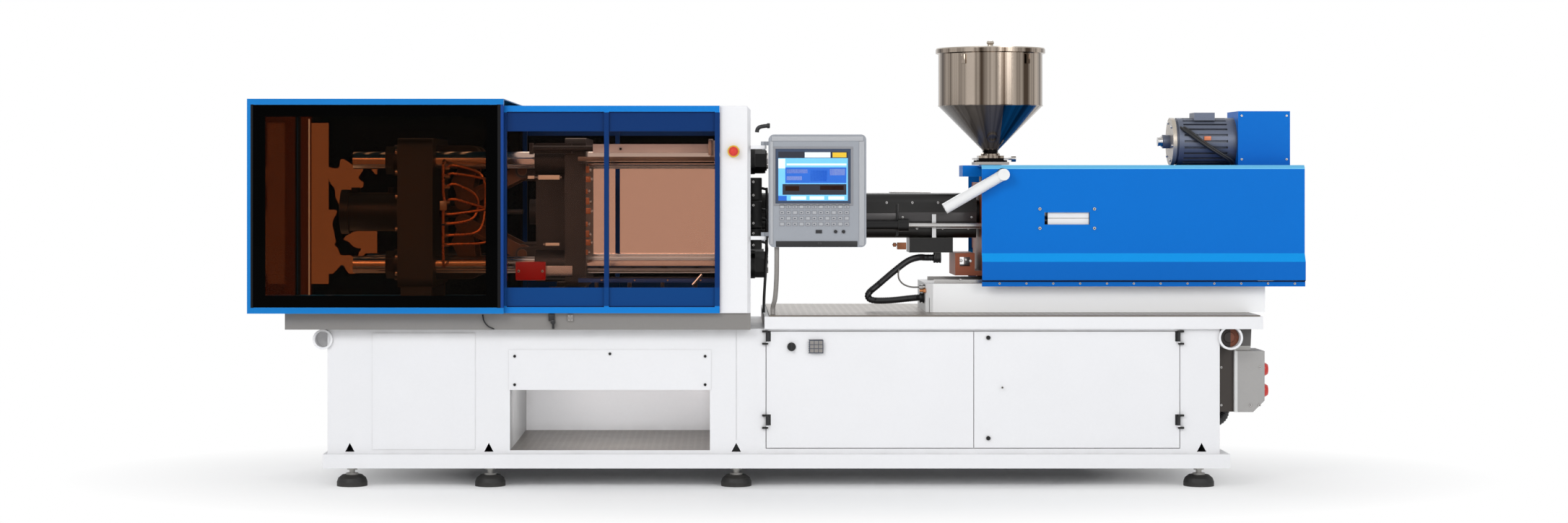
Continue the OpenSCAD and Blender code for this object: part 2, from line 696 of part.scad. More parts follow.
// Injection side
module injection_base() color(white) difference() {
    translate([0, 0, base_z0]) linear_extrude(base_h) polygon([[base_x0 + 30, -base_y], [base_x1, -base_y],
        [base_x1, base_y], [base_x0 + 30, base_y], [base_x0, base_y - 30], [base_x0, -base_y + 30]]);
    box(base_x0 + 14, base_x1 - 14, -base_y + 14, base_y - 14, base_z0 - 1, base_z0 + 60);
    box(base_x0 + 120, base_x1 - 60, -120, 120, base_z0 - 2, base_top + 1);
}
module injection_frame() color("OrangeRed") difference() {
    union() {
        // Carriage plate on its rail blocks
        box(front_plate_x0, 2190, -240, 240, plate_z, plate_z + 20);
        for (x = [front_plate_x0 + 10, 1300, 1690], y = [-1, 1])
            box(x, x + 110, y * lm_y - 32, y * lm_y + 32, lm_top + slip, plate_z + 1);
        // Front foot under the barrel
        box(755, front_plate_x0 + 1, -150, 150, plate_z, plate_z + 20);
        box(755, 840, -150, 150, plate_z, 977);
        // Front plate with the feed throat
        box(front_plate_x0, front_plate_x1, -ram_y - 65, ram_y + 65, plate_z, axis_z + 130);
        box(front_plate_x0, front_plate_x0 + 25, -inner_y, inner_y, 990, axis_z + 130);
        box(hopper_x - throat_box, hopper_x + throat_box, -throat_box, throat_box, axis_z, flange_z0 + 1);
        box(hopper_x - 75, hopper_x + 75, -75, 75, flange_z0, flange_z0 + flange_t);
        // Plate that carries the screw drive
        box(drive_x0, drive_x1, -160, 160, plate_z, cover_top - 20);
        box(drive_x0, drive_x1, -inner_y, inner_y, 990, cover_top - 20);
    }
    rod_x(front_plate_x0 - 1, front_plate_x1 + 1, 0, axis_z, barrel_r);
    translate([hopper_x, 0, axis_z]) cylinder(h = 400, r = throat_r);
    rod_x(drive_x0 - 1, drive_x1 + 1, 0, axis_z, 20 + fit);
    box(775, 820, -151, 151, plate_z + 40, 960);
}
module barrel() color("DimGray") difference() {
    union() {
        rod_x(-150, front_plate_x1, 0, axis_z, barrel_r);
        translate([-200, 0, axis_z]) rotate([0, 90, 0]) cylinder(h = 50, r1 = 24, r2 = 48);
        translate([-262, 0, axis_z]) rotate([0, 90, 0]) cylinder(h = 62, r1 = 14, r2 = 24);
        // Heater bands
        for (i = [0 : 5]) rod_x(-120 + 150 * i, -20 + 150 * i, 0, axis_z, barrel_r + 8);
    }
    rod_x(-130, front_plate_x1 + 1, 0, axis_z, screw_r);
    rod_x(-263, -129, 0, axis_z, 4);
    translate([hopper_x, 0, axis_z]) cylinder(h = 100, r = throat_r);
}
module carriage_cylinders() color("DimGray") both_sides() difference() {
    union() {
        rod_x(fixed_face + fixed_t, 508, -pull_y, pull_z, 20);
        rod_x(508, 553, -pull_y, pull_z, 27);
        rod_x(fixed_face + fixed_t, fixed_face + fixed_t + 30, -pull_y, pull_z, 27);
    }
    rod_x(fixed_face + fixed_t + 40, 554, -pull_y, pull_z, pull_r + fit);
}
module injection_cylinders() color(steel) both_sides() {
    // Ram cylinders beside the screw
    difference() {
        rod_x(front_plate_x1, front_plate_x1 + 370, -ram_y, axis_z, 55);
        rod_x(front_plate_x1 + 20, front_plate_x1 + 371, -ram_y, axis_z, 25 + fit);
    }
    // Rods that pull the carriage to the platen
    rod_x(170, front_plate_x0, -pull_y, pull_z, pull_r);
}
module barrel_shroud() color([0.12, 0.12, 0.12]) {
    x0 = fixed_face + fixed_t + 6;
    difference() {
        union() {
            round_shroud(x0, 852, 105, 98);
            box(560, 750, -95, 95, 978, axis_z - 112);
        }
        round_shroud(x0 - 1, 853, 102, 95);
        // Inspection slots along the top
        for (i = [0 : 7]) box(x0 + 90 + 95 * i, x0 + 150 + 95 * i, -10, 10, axis_z + 70, axis_z + 100);
    }
    // Plug of the heater cable
    rod_x(668, 700, -60, 955, 22);
    box(672, 696, -82, -38, 955, 979);
}
module round_shroud(x0, x1, y, z) {
    // Rounded duct about the barrel, its middle a little under the screw line
    mid = axis_z - 15;
    r = 40;
    translate([x0, 0, mid]) rotate([90, 0, 90]) linear_extrude(x1 - x0) union() {
        square([2 * y, 2 * (z - r)], center = true);
        square([2 * (y - r), 2 * z], center = true);
        for (a = [-1, 1], b = [-1, 1]) translate([a * (y - r), b * (z - r)]) circle(r = r);
    }
}
module cover_shape(in) {
    // Section of the cover: narrow upper part, chamfer, wide skirt and recessed strip
    y1 = cover_y - 20;
    z0 = base_top - 9;
    t = in ? cover_wall : 0;
    e = in ? 1 : 0;
    polygon([[-y1 + t, cover_top - 12 - t], [-y1 + 12 + t, cover_top - t], [y1 - 12 - t, cover_top - t],
        [y1 - t, cover_top - 12 - t], [y1 - t, 981], [cover_y - t, 945], [cover_y - t, z0 + 25 - e],
        [cover_y - 10 - t, z0 + 25 - e], [cover_y - 10 - t, z0 - e], [-cover_y + 10 + t, z0 - e],
        [-cover_y + 10 + t, z0 + 25 - e], [-cover_y + t, z0 + 25 - e], [-cover_y + t, 945], [-y1 + t, 981]]);
}
module injection_cover() color(blue) difference() {
    union() {
        difference() {
            translate([cover_x0, 0, 0]) rotate([90, 0, 90])
                linear_extrude(cover_x1 - cover_x0) cover_shape(false);
            translate([cover_x0 - 1, 0, 0]) rotate([90, 0, 90])
                linear_extrude(cover_x1 - cover_x0 - cover_wall + 1) cover_shape(true);
        }
        // Hood over the feed throat
        difference() {
            box(hopper_x - 130, hopper_x + 60, -85, 85, cover_top - 49, cover_top);
            box(hopper_x - 125, hopper_x + 61, -80, 80, cover_top - 50, cover_top - 5);
        }
    }
    box(hopper_x - throat_box - 2, hopper_x + throat_box + 2, -throat_box - 2, throat_box + 2,
        cover_top - 60, cover_top + 1);
    // Sight slots
    box(cover_x0 + 269, cover_x0 + 463, -cover_y - 1, cover_y + 1, axis_z - 51, axis_z + 1);
    // Notch for the drain tube
    rod_y(-cover_y - 1, -70, hopper_x + 21, cover_top - 41, 28);
}
module belt_tower() color(blue) difference() {
    translate([0, 0, cover_top]) box(tower_x0, tower_x1, -125, 125, 0, 236);
    translate([0, 0, cover_top]) box(tower_x0 + 5, tower_x1 - 5, -120, 120, -1, 231);
    rod_x(tower_x0 - 1, tower_x0 + 6, 0, motor_z, 60);
}
module drive_motor() color("LightSlateGray") {
    difference() {
        rod_x(motor_x0 + 38, tower_x0 - 18, 0, motor_z, motor_r);
        // Cooling fins
        for (a = [0 : 15 : 345]) translate([0, 0, motor_z]) rotate([a, 0, 0])
            box(motor_x0 + 60, tower_x0 - 40, -5, 5, motor_r - 9, motor_r + 5);
    }
    rod_x(tower_x0 - 18, tower_x0, 0, motor_z, motor_r);
    rod_x(motor_x0 + 12, motor_x0 + 38, 0, motor_z, motor_r - 6);
    rod_x(motor_x0 - 20, motor_x0 + 12, 0, motor_z, 30);
    box(motor_x0 + 110, motor_x0 + 200, -60, 60, motor_z + motor_r - 12, motor_z + motor_r + 22);
    // Shaft into the tower
    rod_x(tower_x0, tower_x0 + 60, 0, motor_z, 20);
}
module thrust_block() color("SlateGray") {
    difference() {
        round_box(thrust_x0, thrust_x1, -ram_y - 50, ram_y + 50, axis_z - 80, axis_z + 80, 20);
        rod_x(thrust_x0 - 1, thrust_x1 + 1, 0, axis_z, screw_r + fit);
    }
    both_sides() rod_x(front_plate_x1 + 90, thrust_x0, -ram_y, axis_z, 25);
}
module screw() color(steel) {
    rod_x(-80, thrust_x1 + 20, 0, axis_z, screw_r - 0.05);
    translate([-125, 0, axis_z]) rotate([0, 90, 0]) cylinder(h = 45, r1 = 4, r2 = screw_r - 0.05);
    rod_x(thrust_x0 - 15 - slip, thrust_x0 - slip, 0, axis_z, 42);
    rod_x(thrust_x1 + slip, thrust_x1 + 15 + slip, 0, axis_z, 42);
    rod_x(thrust_x1 + 20, drive_x1 + 20, 0, axis_z, 20);
}

// Hopper
module at_hopper() translate([hopper_x, 0, 0]) children();
module hopper() color(steel) at_hopper() {
    // Neck block with the gate slot
    difference() {
        box(-55, 55, -45, 45, neck_z0, neck_z0 + neck_h);
        box(-56, 56, -30, 30, gate_z0, gate_z0 + gate_h);
        translate([0, 0, neck_z0 - 1]) cylinder(h = neck_h + 2, r = throat_r);
    }
    // Cone, drum and rolled rim as one shell
    z_neck = neck_z0 + neck_h;
    rotate_extrude() polygon([[throat_r, z_neck], [42, z_neck], [42, z_neck + 8], [34, z_neck + 14],
        [34, cone_z0], [hopper_r, drum_z0], [hopper_r, drum_z1], [hopper_r + 12, drum_z1 + 4],
        [hopper_r + 12, drum_z1 + rim_h], [hopper_r - hopper_t, drum_z1 + rim_h],
        [hopper_r - hopper_t, drum_z0 + 1], [34 - hopper_t, cone_z0 + 1], [throat_r, cone_z0 - 8]]);
    // Sight glass ring on the cone
    tilt = atan((hopper_r - 34) / cone_h);
    translate([0, -34 - (hopper_r - 34) * 0.3, cone_z0 + cone_h * 0.3]) rotate([90 + tilt, 0, 0])
        difference() {
            cylinder(h = 10, r = 24);
            translate([0, 0, 2]) cylinder(h = 9, r = 17);
        }
}
module hopper_lid() color(steel) at_hopper() {
    rotate_extrude() polygon([[0, lid_z0], [hopper_r + 10, lid_z0], [hopper_r + 10, lid_z0 + 5],
        [30, lid_z0 + 12], [14, lid_z0 + 14], [12, lid_z0 + 22], [17, lid_z0 + 30], [14, lid_z0 + 39],
        [0, lid_z0 + 41]]);
}
module hopper_gate() color("DimGray") at_hopper() difference() {
    union() {
        box(-78, 78, -30 + slip, 30 - slip, gate_z0 + slip, gate_z0 + gate_h - slip);
        rod_x(78, 92, 0, gate_z0 + gate_h / 2, 5);
        rod_x(92, 112, 0, gate_z0 + gate_h / 2, 13);
    }
    translate([0, 0, gate_z0 - 1]) cylinder(h = gate_h + 2, r = throat_r);
}
module drain_tube() color("White") {
    // White tube from the throat, out through the cover and down beside the shroud
    top = [hopper_x + 21, cover_top - 41];
    low = [hopper_x - 230, cover_top - 187];
    tube_y = -cover_y - 10;
    len = norm(top - low);
    deg = atan2(top[1] - low[1], top[0] - low[0]);
    difference() {
        union() {
            rod_y(tube_y - 26, -throat_box, top[0], top[1], 25);
            translate([low[0], tube_y, low[1]]) rotate([0, 90 - deg, 0]) cylinder(h = len, r = 23.5);
        }
        translate([low[0], tube_y, low[1]]) rotate([0, 90 - deg, 0]) translate([0, 0, -1])
            cylinder(h = len - 20, r = 20);
    }
}

// Control panel
key_x = [for (i = [0 : 10]) hmi_x0 + 45 + 27 * i];
screen_x0 = hmi_x0 + 28;
screen_z0 = hmi_z0 + hmi_h - 60 - screen_h;
key_low = hmi_z0 + 88;
key_pitch = (screen_z0 - key_low + 2) / 4;
key_z = [for (i = [0 : 3]) key_low + key_pitch * i];
module hmi_case() color("LightGray") {
    difference() {
        union() {
            round_box(hmi_x0, hmi_x0 + hmi_w, hmi_y0, hmi_y0 + hmi_t, hmi_z0, hmi_z0 + hmi_h, 22);
            // Hinge knuckles between the arms
            for (z = [hmi_z0 + 45 + slip, hmi_z0 + hmi_h - 45 + slip]) {
                translate([hinge_x, hinge_y, z]) cylinder(h = 16, r = 11);
                box(hinge_x, hmi_x0 + 1, hinge_y - 8, hinge_y + 8, z, z + 16);
            }
        }
        box(screen_x0, screen_x0 + screen_w, hmi_y0 - 1, hmi_y0 + 8, screen_z0, screen_z0 + screen_h);
        for (x = [hmi_x0 + 279, hmi_x0 + 312]) rod_y(hmi_y0 - 1, hmi_y0 + 14, x, button_z, 7 + slip);
    }
    // Hinge pins, carried by the case
    for (z = [hmi_z0 + 30, hmi_z0 + hmi_h - 60]) translate([hinge_x, hinge_y, z - 4]) cylinder(h = 20, r = 6);
    // Membrane keys
    for (x = key_x, z = key_z) box(x, x + 21, hmi_y0 - 1.5, hmi_y0 + 1, z, z + key_pitch - 7);
    box(hmi_x0 + 196, hmi_x0 + 222, hmi_y0 - 3, hmi_y0 + 1, button_z - 7, button_z + 7);
}
module hmi_screen() color("SteelBlue")
    box(screen_x0, screen_x0 + screen_w, hmi_y0 + 3, hmi_y0 + 8, screen_z0, screen_z0 + screen_h);
module push_button(x) {
    rod_y(hmi_y0 - 4.5, hmi_y0 + 8, x, button_z, 7);
}
module start_button() color("Black") push_button(hmi_x0 + 279);
module stop_button() color("Black") push_button(hmi_x0 + 312);

// Cabinet doors and gear
module door_leaf(x0, x1, knuckle_x) {
    difference() {
        union() {
            difference() {
                box(x0, x1, -half_w - 2, -half_w - 2 + door_t, cab_z0 + 3, cab_z1 - 3);
                box(x0 + 20, x1 - 20, -half_w + 1, -half_w - 1 + door_t, cab_z0 + 23, cab_z1 - 23);
            }
            for (z = [cab_z1 - 28, cab_z0 + 114]) {
                translate([knuckle_x, door_hinge_y, z - 21]) cylinder(h = 42, r = 7);
                box(knuckle_x - 7, knuckle_x + 7, door_hinge_y, -half_w - 1, z - 21, z + 21);
            }
        }
        for (z = [cab_z1 - 28, cab_z0 + 114])
            translate([knuckle_x, door_hinge_y, z - 22]) cylinder(h = 44, r = 3 + fit);
    }
}
module cabinet_door_left() color(white) difference() {
    door_leaf(cab_x0 + 3, cab_mid - 1.5, cab_x0 + 7);
    rod_y(-half_w - 3, -half_w + door_t, knob_x, knob_z, 6 + slip);
    // Vent grille
    for (i = [0 : 6])
        box(cab_x0 + 181, cab_x0 + 241, -half_w - 3, -half_w + door_t,
            knob_z - 28 + 9 * i, knob_z - 24 + 9 * i);
}
module cabinet_door_right() color(white) difference() {
    door_leaf(cab_mid + 1.5, cab_x1 - 3, cab_x1 - 7);
    for (z = [cab_z1 - 29, cab_z0 + 44]) rod_y(-half_w - 3, -half_w + door_t, lock_x, z, 5 + slip);
}
module quarter_lock(z) {
    rod_y(-half_w - 9, -half_w - 2 - slip, lock_x, z, 9);
    rod_y(-half_w - 3, -half_w + door_t + 2, lock_x, z, 5);
    box(lock_x - 34, lock_x + 6, -half_w + door_t - 2 + slip, -half_w + door_t + 2, z - 6, z + 6);
}
module lock_upper() color("Black") quarter_lock(cab_z1 - 29);
module lock_lower() color("Black") quarter_lock(cab_z0 + 44);
module switch_knob() color("Black") {
    rod_y(-half_w - 8, -half_w - 2 - slip, knob_x, knob_z, 18);
    box(knob_x - 5, knob_x + 5, -half_w - 22, -half_w - 7, knob_z - 17, knob_z + 17);
    rod_y(-half_w - 3, -half_w + door_t - 2, knob_x, knob_z, 6);
}
module cabinet_gear() color("SlateGray") {
    z0 = foot_gap + wall;
    z1 = cab_z1 - 60;
    gear_y = half_w - 120;
    gear_x0 = cab_x0 + 75;
    gear_x1 = cab_mid - 62;
    pitch = (gear_x1 - gear_x0 - 40) / 5;
    tank_x0 = cab_mid + 58;
    tank_x1 = tank_x0 + 440;
    pump_y = -0.3 * half_w;
    // Control plate with modules
    box(gear_x0, gear_x1, gear_y, gear_y + 12, z0, z1);
    for (i = [0 : 4]) box(gear_x0 + 30 + pitch * i, gear_x0 + pitch * (i + 1), gear_y - 90, gear_y + 1,
        z1 - 220, z1 - 40);
    // Oil tank
    difference() {
        box(tank_x0, tank_x1, gear_y - 360, gear_y + 60, z0, z1 - 40);
        box(tank_x0 + 8, tank_x1 - 8, gear_y - 352, gear_y + 52, z0 + 8, z1 - 48);
        translate([(tank_x0 + tank_x1) / 2, gear_y - 150, z1 - 60]) cylinder(h = 40, r = 40);
    }
    // Pump motor on its foot, with the pump
    rod_x(tank_x1 + 50, tank_x1 + 320, pump_y, z0 + 150, 110);
    box(tank_x1 + 70, tank_x1 + 300, pump_y - 80, pump_y + 80, z0, z0 + 60);
    rod_x(tank_x1 + 320, tank_x1 + 400, pump_y, z0 + 150, 60);
    rod_x(tank_x1 + 10, tank_x1 + 50, pump_y, z0 + 150, 100);
}

// Power inlet at the right end
module power_inlet() color("DarkGray") {
    // Riser, socket box and cable hood
    box(bed_x1, bed_x1 + 76, inlet_y - 60, inlet_y + 60, inlet_z, bed_top - 3);
    translate([0, inlet_y + 120, 0]) rotate([90, 0, 0]) linear_extrude(200)
        polygon([[bed_x1 + 76, inlet_z], [bed_x1 + 155, inlet_z], [bed_x1 + 204, inlet_z + 49],
            [bed_x1 + 204, inlet_z1], [bed_x1 + 76, inlet_z1]]);
    translate([0, inlet_y + 50, 0]) rotate([90, 0, 0]) linear_extrude(100)
        polygon([[bed_x1 + 80, inlet_z1], [bed_x1 + 150, inlet_z1], [bed_x1 + 156, deck_top - wall],
            [bed_x1 + 80, deck_top - wall]]);
}
module power_sockets() color("Red") for (z = [inlet_z + 85, inlet_z + 175]) {
    rod_x(bed_x1 + 204, bed_x1 + 222, inlet_y + 20, z, 30);
    translate([bed_x1 + 222, inlet_y + 20, z]) rotate([0, 90, 0]) cylinder(h = 14, r1 = 30, r2 = 22);
}

// Cables held along their whole way
heater_route = [[668 - slip, -60, 955], [635, -60, 955], [600, -78, 956], [552, -97, 941], [490, -115, 896],
    [420, -130, 838], [382, -140, 806], [378, -145, 784], [402, -150, 772], [470, -150, 772],
    [550, -150, 780], [595, -150, 784], [base_x0 - slip, -150, 784]];
panel_route = [[-30, -585, hmi_z0 - slip], [-30, -585, 970], [-31, -570, 880], [-36, -535, 800],
    [-44, -492, 760], [-44, -492, base_z0 + 0.5]];
function unit(v) = v / norm(v);
function direction(r, i) = unit(r[min(i + 1, len(r) - 1)] - r[max(i - 1, 0)]);
function ring(r, i, rad, n) = let(d = direction(r, i), a = unit(cross(d, [0, 1, 0.01])), b = cross(d, a))
    [for (k = [0 : n - 1]) r[i] + rad * (a * cos(360 * k / n) + b * sin(360 * k / n))];
module cord(route, rad, n = 10) {
    m = len(route);
    points = [for (i = [0 : m - 1]) each ring(route, i, rad, n)];
    sides = [for (i = [0 : m - 2], k = [0 : n - 1]) let(j = (k + 1) % n)
        [i * n + k, i * n + n + k, i * n + n + j, i * n + j]];
    ends = [[for (k = [n - 1 : -1 : 0]) k], [for (k = [0 : n - 1]) (m - 1) * n + k]];
    polyhedron(points, concat(sides, ends));
}
module conduits() color([0.1, 0.1, 0.1]) {
    cord(heater_route, 15);
    cord(panel_route, 10);
    // Supply hose from the riser into the bed
    translate([bed_x1, inlet_y, inlet_z]) rotate([-90, 0, 0]) rotate_extrude(angle = 90) translate([42, 0])
        circle(r = 28);
}

bed_frame();
levelling_feet();
tread_plates();
bed_panels();
bed_fasteners();
guard_rails();
slide_ways();
guard_frame();
guard_panes();
pillars();
estop_collar();
fixed_platen();
safety_beam();
tie_bars();
tie_bar_nuts();
injection_base();
carriage_cylinders();
conduits();
power_inlet();
power_sockets();
cabinet_gear();
door_frame();
door_panes();
rear_door_frame();
rear_door_panes();
cabinet_door_left();
cabinet_door_right();
switch_knob();
lock_upper();
lock_lower();
estop_button();
hmi_case();
hmi_screen();
start_button();
stop_button();
tail_platen();
clamp_cylinder();
die_nuts();
moving_platen();
ejector_rods();
crosshead();
rear_links_upper();
rear_links_lower();
front_links_upper();
front_links_lower();
cross_links_upper();
cross_links_lower();
injection_frame();
barrel();
barrel_shroud();
injection_cover();
belt_tower();
drive_motor();
hopper();
hopper_lid();
hopper_gate();
drain_tube();
thrust_block();
screw();
injection_cylinders();
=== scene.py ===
# %% [markdown]
# # Injection moulding machine
# The machine stands on eight levelling feet, with a guarded toggle clamp on the left and the screw
# unit on the right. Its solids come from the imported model. This file adds what solids can't show:
# the finishes, and small pieces such as hoses, screws, sensors and the screen's picture. Finishes
# could be painted pictures, but here nodes work them out, so they stay sharp from close by.

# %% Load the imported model
import math
import bmesh
import bpy
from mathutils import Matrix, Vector

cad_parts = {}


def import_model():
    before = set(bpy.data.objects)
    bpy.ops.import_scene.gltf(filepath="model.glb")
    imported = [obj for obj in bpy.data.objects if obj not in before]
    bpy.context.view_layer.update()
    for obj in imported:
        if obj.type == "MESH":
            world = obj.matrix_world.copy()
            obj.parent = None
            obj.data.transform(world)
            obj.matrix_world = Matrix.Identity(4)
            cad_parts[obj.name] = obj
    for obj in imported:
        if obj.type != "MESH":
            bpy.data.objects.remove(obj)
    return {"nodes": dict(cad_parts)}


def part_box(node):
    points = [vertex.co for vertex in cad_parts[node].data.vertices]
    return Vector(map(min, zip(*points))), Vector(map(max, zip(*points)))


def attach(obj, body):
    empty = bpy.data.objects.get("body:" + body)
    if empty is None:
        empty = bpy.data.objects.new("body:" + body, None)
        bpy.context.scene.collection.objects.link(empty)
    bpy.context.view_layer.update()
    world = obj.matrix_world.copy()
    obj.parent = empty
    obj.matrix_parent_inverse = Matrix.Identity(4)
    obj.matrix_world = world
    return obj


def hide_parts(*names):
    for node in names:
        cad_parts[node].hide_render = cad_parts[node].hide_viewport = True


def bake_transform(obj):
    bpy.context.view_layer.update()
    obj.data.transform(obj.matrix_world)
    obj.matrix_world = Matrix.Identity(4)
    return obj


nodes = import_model()["nodes"]
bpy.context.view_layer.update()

# %% [markdown]
# The photograph was taken level with the top of the bed's guards, from far away, a little left of
# the machine's middle. The camera could be turned toward the machine, but then its uprights would
# lean. A long lens with a small shift keeps them upright in a frame three times as wide as high.

# %% Camera
FRAME_W = 6.55
FRAME_MIDDLE_Z = 0.955
FRONT_Y = -0.6
SENSOR = 36
CAM = Vector((-0.25, -11.5, 1.30))
cam_data = bpy.data.cameras.new("camera")
cam_data.sensor_width = SENSOR
cam_data.lens = SENSOR * (FRONT_Y - CAM.y) / FRAME_W
cam_data.shift_x = -CAM.x / FRAME_W
cam_data.shift_y = (FRAME_MIDDLE_Z - CAM.z) / FRAME_W
camera = bpy.data.objects.new("camera", cam_data)
camera.location = CAM
camera.rotation_euler = (math.radians(90), 0, 0)
bpy.context.scene.collection.objects.link(camera)
bpy.context.scene.camera = camera
print("lens", round(cam_data.lens, 1))

# %% [markdown]
# Colours are written as a screen shows them, from 0 to 255, as a photograph gives them. Blender's
# sockets hold linear light, so one helper turns each colour.

# %% Colour helper
def rgb(*levels):
    def linear(v):
        v = v / 255
        return v / 12.92 if v <= 0.04045 else ((v + 0.055) / 1.055) ** 2.4
    return tuple(linear(v) for v in levels) + (1,)

# %% [markdown]
# ## Shared effects
# Paint, castings and plastic share a few effects. Each could be wired anew in every material. Here
# it is a node group with named sockets, so that one change reaches every finish. A group gives
# masks, values and normals only, and the shader itself stays in each material.

# %% Node helpers
def feed(socket, value):
    """Sets a socket to a plain value, or links another socket to it."""
    if isinstance(value, bpy.types.NodeSocket):
        socket.id_data.links.new(value, socket)
    else:
        socket.default_value = value

def math_node(operation, *values, clamp=False):
    """A Math node in the tree of the sockets that it is given."""
    tree = next(v.id_data for v in values if isinstance(v, bpy.types.NodeSocket))
    node = tree.nodes.new("ShaderNodeMath")
    node.operation = operation
    node.use_clamp = clamp
    for socket, value in zip(node.inputs, values):
        feed(socket, value)
    return node.outputs[0]

def times(mask, *others):
    for other in others:
        mask = math_node("MULTIPLY", mask, other)
    return mask

def opposite(mask):
    return math_node("SUBTRACT", 1.0, mask)

# %% [markdown]
# Textures read each point's place in its object's own metres. World places would do at rest, but
# then the pattern would slide over a piece that moves.

# %% Place and noise
def own_place(tree):
    """Each point's place in its object's own metres, so that a finish travels with the piece."""
    return tree.nodes.new("ShaderNodeTexCoord").outputs["Object"]

def noise(tree, scale, detail, place=None):
    texture = tree.nodes.new("ShaderNodeTexNoise")
    texture.inputs["Detail"].default_value = detail
    feed(texture.inputs["Scale"], scale)
    feed(texture.inputs["Vector"], own_place(tree) if place is None else place)
    return texture.outputs["Fac"]

# %% [markdown]
# A group needs sockets on its outside and nodes that hand them on inside. One helper makes both,
# so that each effect below is only its own few nodes.

# %% Group helper
def effect_group(name, output, kind, **inputs):
    """A node group with number inputs and one output: the group, its inputs and its way out."""
    group = bpy.data.node_groups.new(name, "ShaderNodeTree")
    for label, default in inputs.items():
        socket = group.interface.new_socket(name=label, in_out="INPUT", socket_type="NodeSocketFloat")
        socket.default_value = default
    group.interface.new_socket(name=output, in_out="OUTPUT", socket_type=kind)
    given = group.nodes.new("NodeGroupInput").outputs
    out = group.nodes.new("NodeGroupOutput").inputs[0]
    print("group", name, list(inputs))
    return group, given, out

# %% [markdown]
# Cloudy variation: no large sheet of sprayed paint has one flat tone. A single noise looks like
# spots, so a large and a small one are added.

# %% Cloud group
cloud, given, out = effect_group("cloud", "Value", "NodeSocketFloat", Scale=3.0, Fine=60.0)
small = times(noise(cloud, given["Fine"], 2), 0.35)
feed(out, math_node("MULTIPLY_ADD", noise(cloud, given["Scale"], 3), 0.65, small))

# %% [markdown]
# Grain: the orange peel of sprayed paint or the sand texture of a casting. Real bumps would need
# millions of faces, so noise tilts the normal instead.

# %% Grain group
grain, given, out = effect_group("grain", "Normal", "NodeSocketVector", Scale=400.0, Strength=0.1,
                                 Depth=0.0005)
bump = grain.nodes.new("ShaderNodeBump")
feed(bump.inputs["Strength"], given["Strength"])
feed(bump.inputs["Distance"], given["Depth"])
feed(bump.inputs["Height"], noise(grain, given["Scale"], 3))
feed(out, bump.outputs["Normal"])

# %% [markdown]
# Edge wear: handling rubs paint off the edges. They could be marked by hand, but the Bevel node
# finds them on any mesh: where its rounded normal differs from the true one there is an edge.
# Noise breaks the line up as real wear does. On the blue paints the edge colour is a lighter blue,
# so there the same mask lays a painted highlight along the edges.

# %% Edge wear and painted highlight group
edge_wear_and_highlight, given, out = effect_group("edge_wear_and_highlight", "Mask", "NodeSocketFloat", Radius=0.002, Scale=30.0,
                                     Amount=0.6)
bevel = edge_wear_and_highlight.nodes.new("ShaderNodeBevel")
bevel.samples = 3
feed(bevel.inputs["Radius"], given["Radius"])
dot = edge_wear_and_highlight.nodes.new("ShaderNodeVectorMath")
dot.operation = "DOT_PRODUCT"
feed(dot.inputs[0], bevel.outputs["Normal"])
feed(dot.inputs[1], edge_wear_and_highlight.nodes.new("ShaderNodeNewGeometry").outputs["Normal"])
edge = math_node("MULTIPLY", opposite(dot.outputs["Value"]), 6.0, clamp=True)
broken = times(edge, times(noise(edge_wear_and_highlight, given["Scale"], 4), 1.5))
feed(out, math_node("MULTIPLY", broken, given["Amount"], clamp=True))

# %% [markdown]
# Grime settles in corners, where no cloth reaches, and shade falls there too. Ambient occlusion
# finds them. The colour laid there is part grime and part painted shade: on most finishes it is a
# darker copy of the base colour. Noise keeps the edge of the dirt uneven.

# %% Grime and painted shade group
grime_and_shade, given, out = effect_group("grime_and_shade", "Mask", "NodeSocketFloat", Distance=0.06, Scale=12.0, Amount=0.5)
corner = grime_and_shade.nodes.new("ShaderNodeAmbientOcclusion")
corner.samples = 4
feed(corner.inputs["Distance"], given["Distance"])
uneven = times(opposite(corner.outputs["AO"]), times(noise(grime_and_shade, given["Scale"], 4), 1.8))
feed(out, math_node("MULTIPLY", uneven, given["Amount"], clamp=True))

# %% [markdown]
# A slab mask is 1 between two bounds of a value, such as two heights. It marks printed borders,
# painted bands and other regions of one solid, which would otherwise have to be cut apart.

# %% Slab group
slab, given, out = effect_group("slab", "Mask", "NodeSocketFloat", Value=0.0, Low=0.0, High=1.0)
above = math_node("GREATER_THAN", given["Value"], given["Low"])
feed(out, times(above, math_node("LESS_THAN", given["Value"], given["High"])))

# %% [markdown]
# ## Finishes
# Nearly every surface of the machine has the same layers: a base colour that drifts a little, dirt
# and painted shade in the corners, and a second colour on the edges. That colour is wear, and on the
# blue paints a painted highlight. One helper builds them, and each finish calls it with its own values.

# %% Material helpers
def use_group(tree, group, **values):
    node = tree.nodes.new("ShaderNodeGroup")
    node.node_tree = group
    for label, value in values.items():
        feed(node.inputs[label], value)
    return node.outputs[0]

def mix_colour(tree, factor, a, b):
    node = tree.nodes.new("ShaderNodeMix")
    node.data_type = "RGBA"
    for label, value in (("Factor", factor), ("A", a), ("B", b)):
        feed(node.inputs[label], value)
    return node.outputs["Result"]

def shaded(colour, factor):
    return tuple(min(1, c * factor) for c in colour[:3]) + (1,)

def shader_inputs(material):
    return material.node_tree.nodes["Principled BSDF"].inputs

def new_material(name, **plain):
    """A material with plain values on its shader, their names written with underscores."""
    material = bpy.data.materials.new(name)
    material.use_nodes = True
    for label, value in plain.items():
        shader_inputs(material)[label.replace("_", " ")].default_value = value
    return material
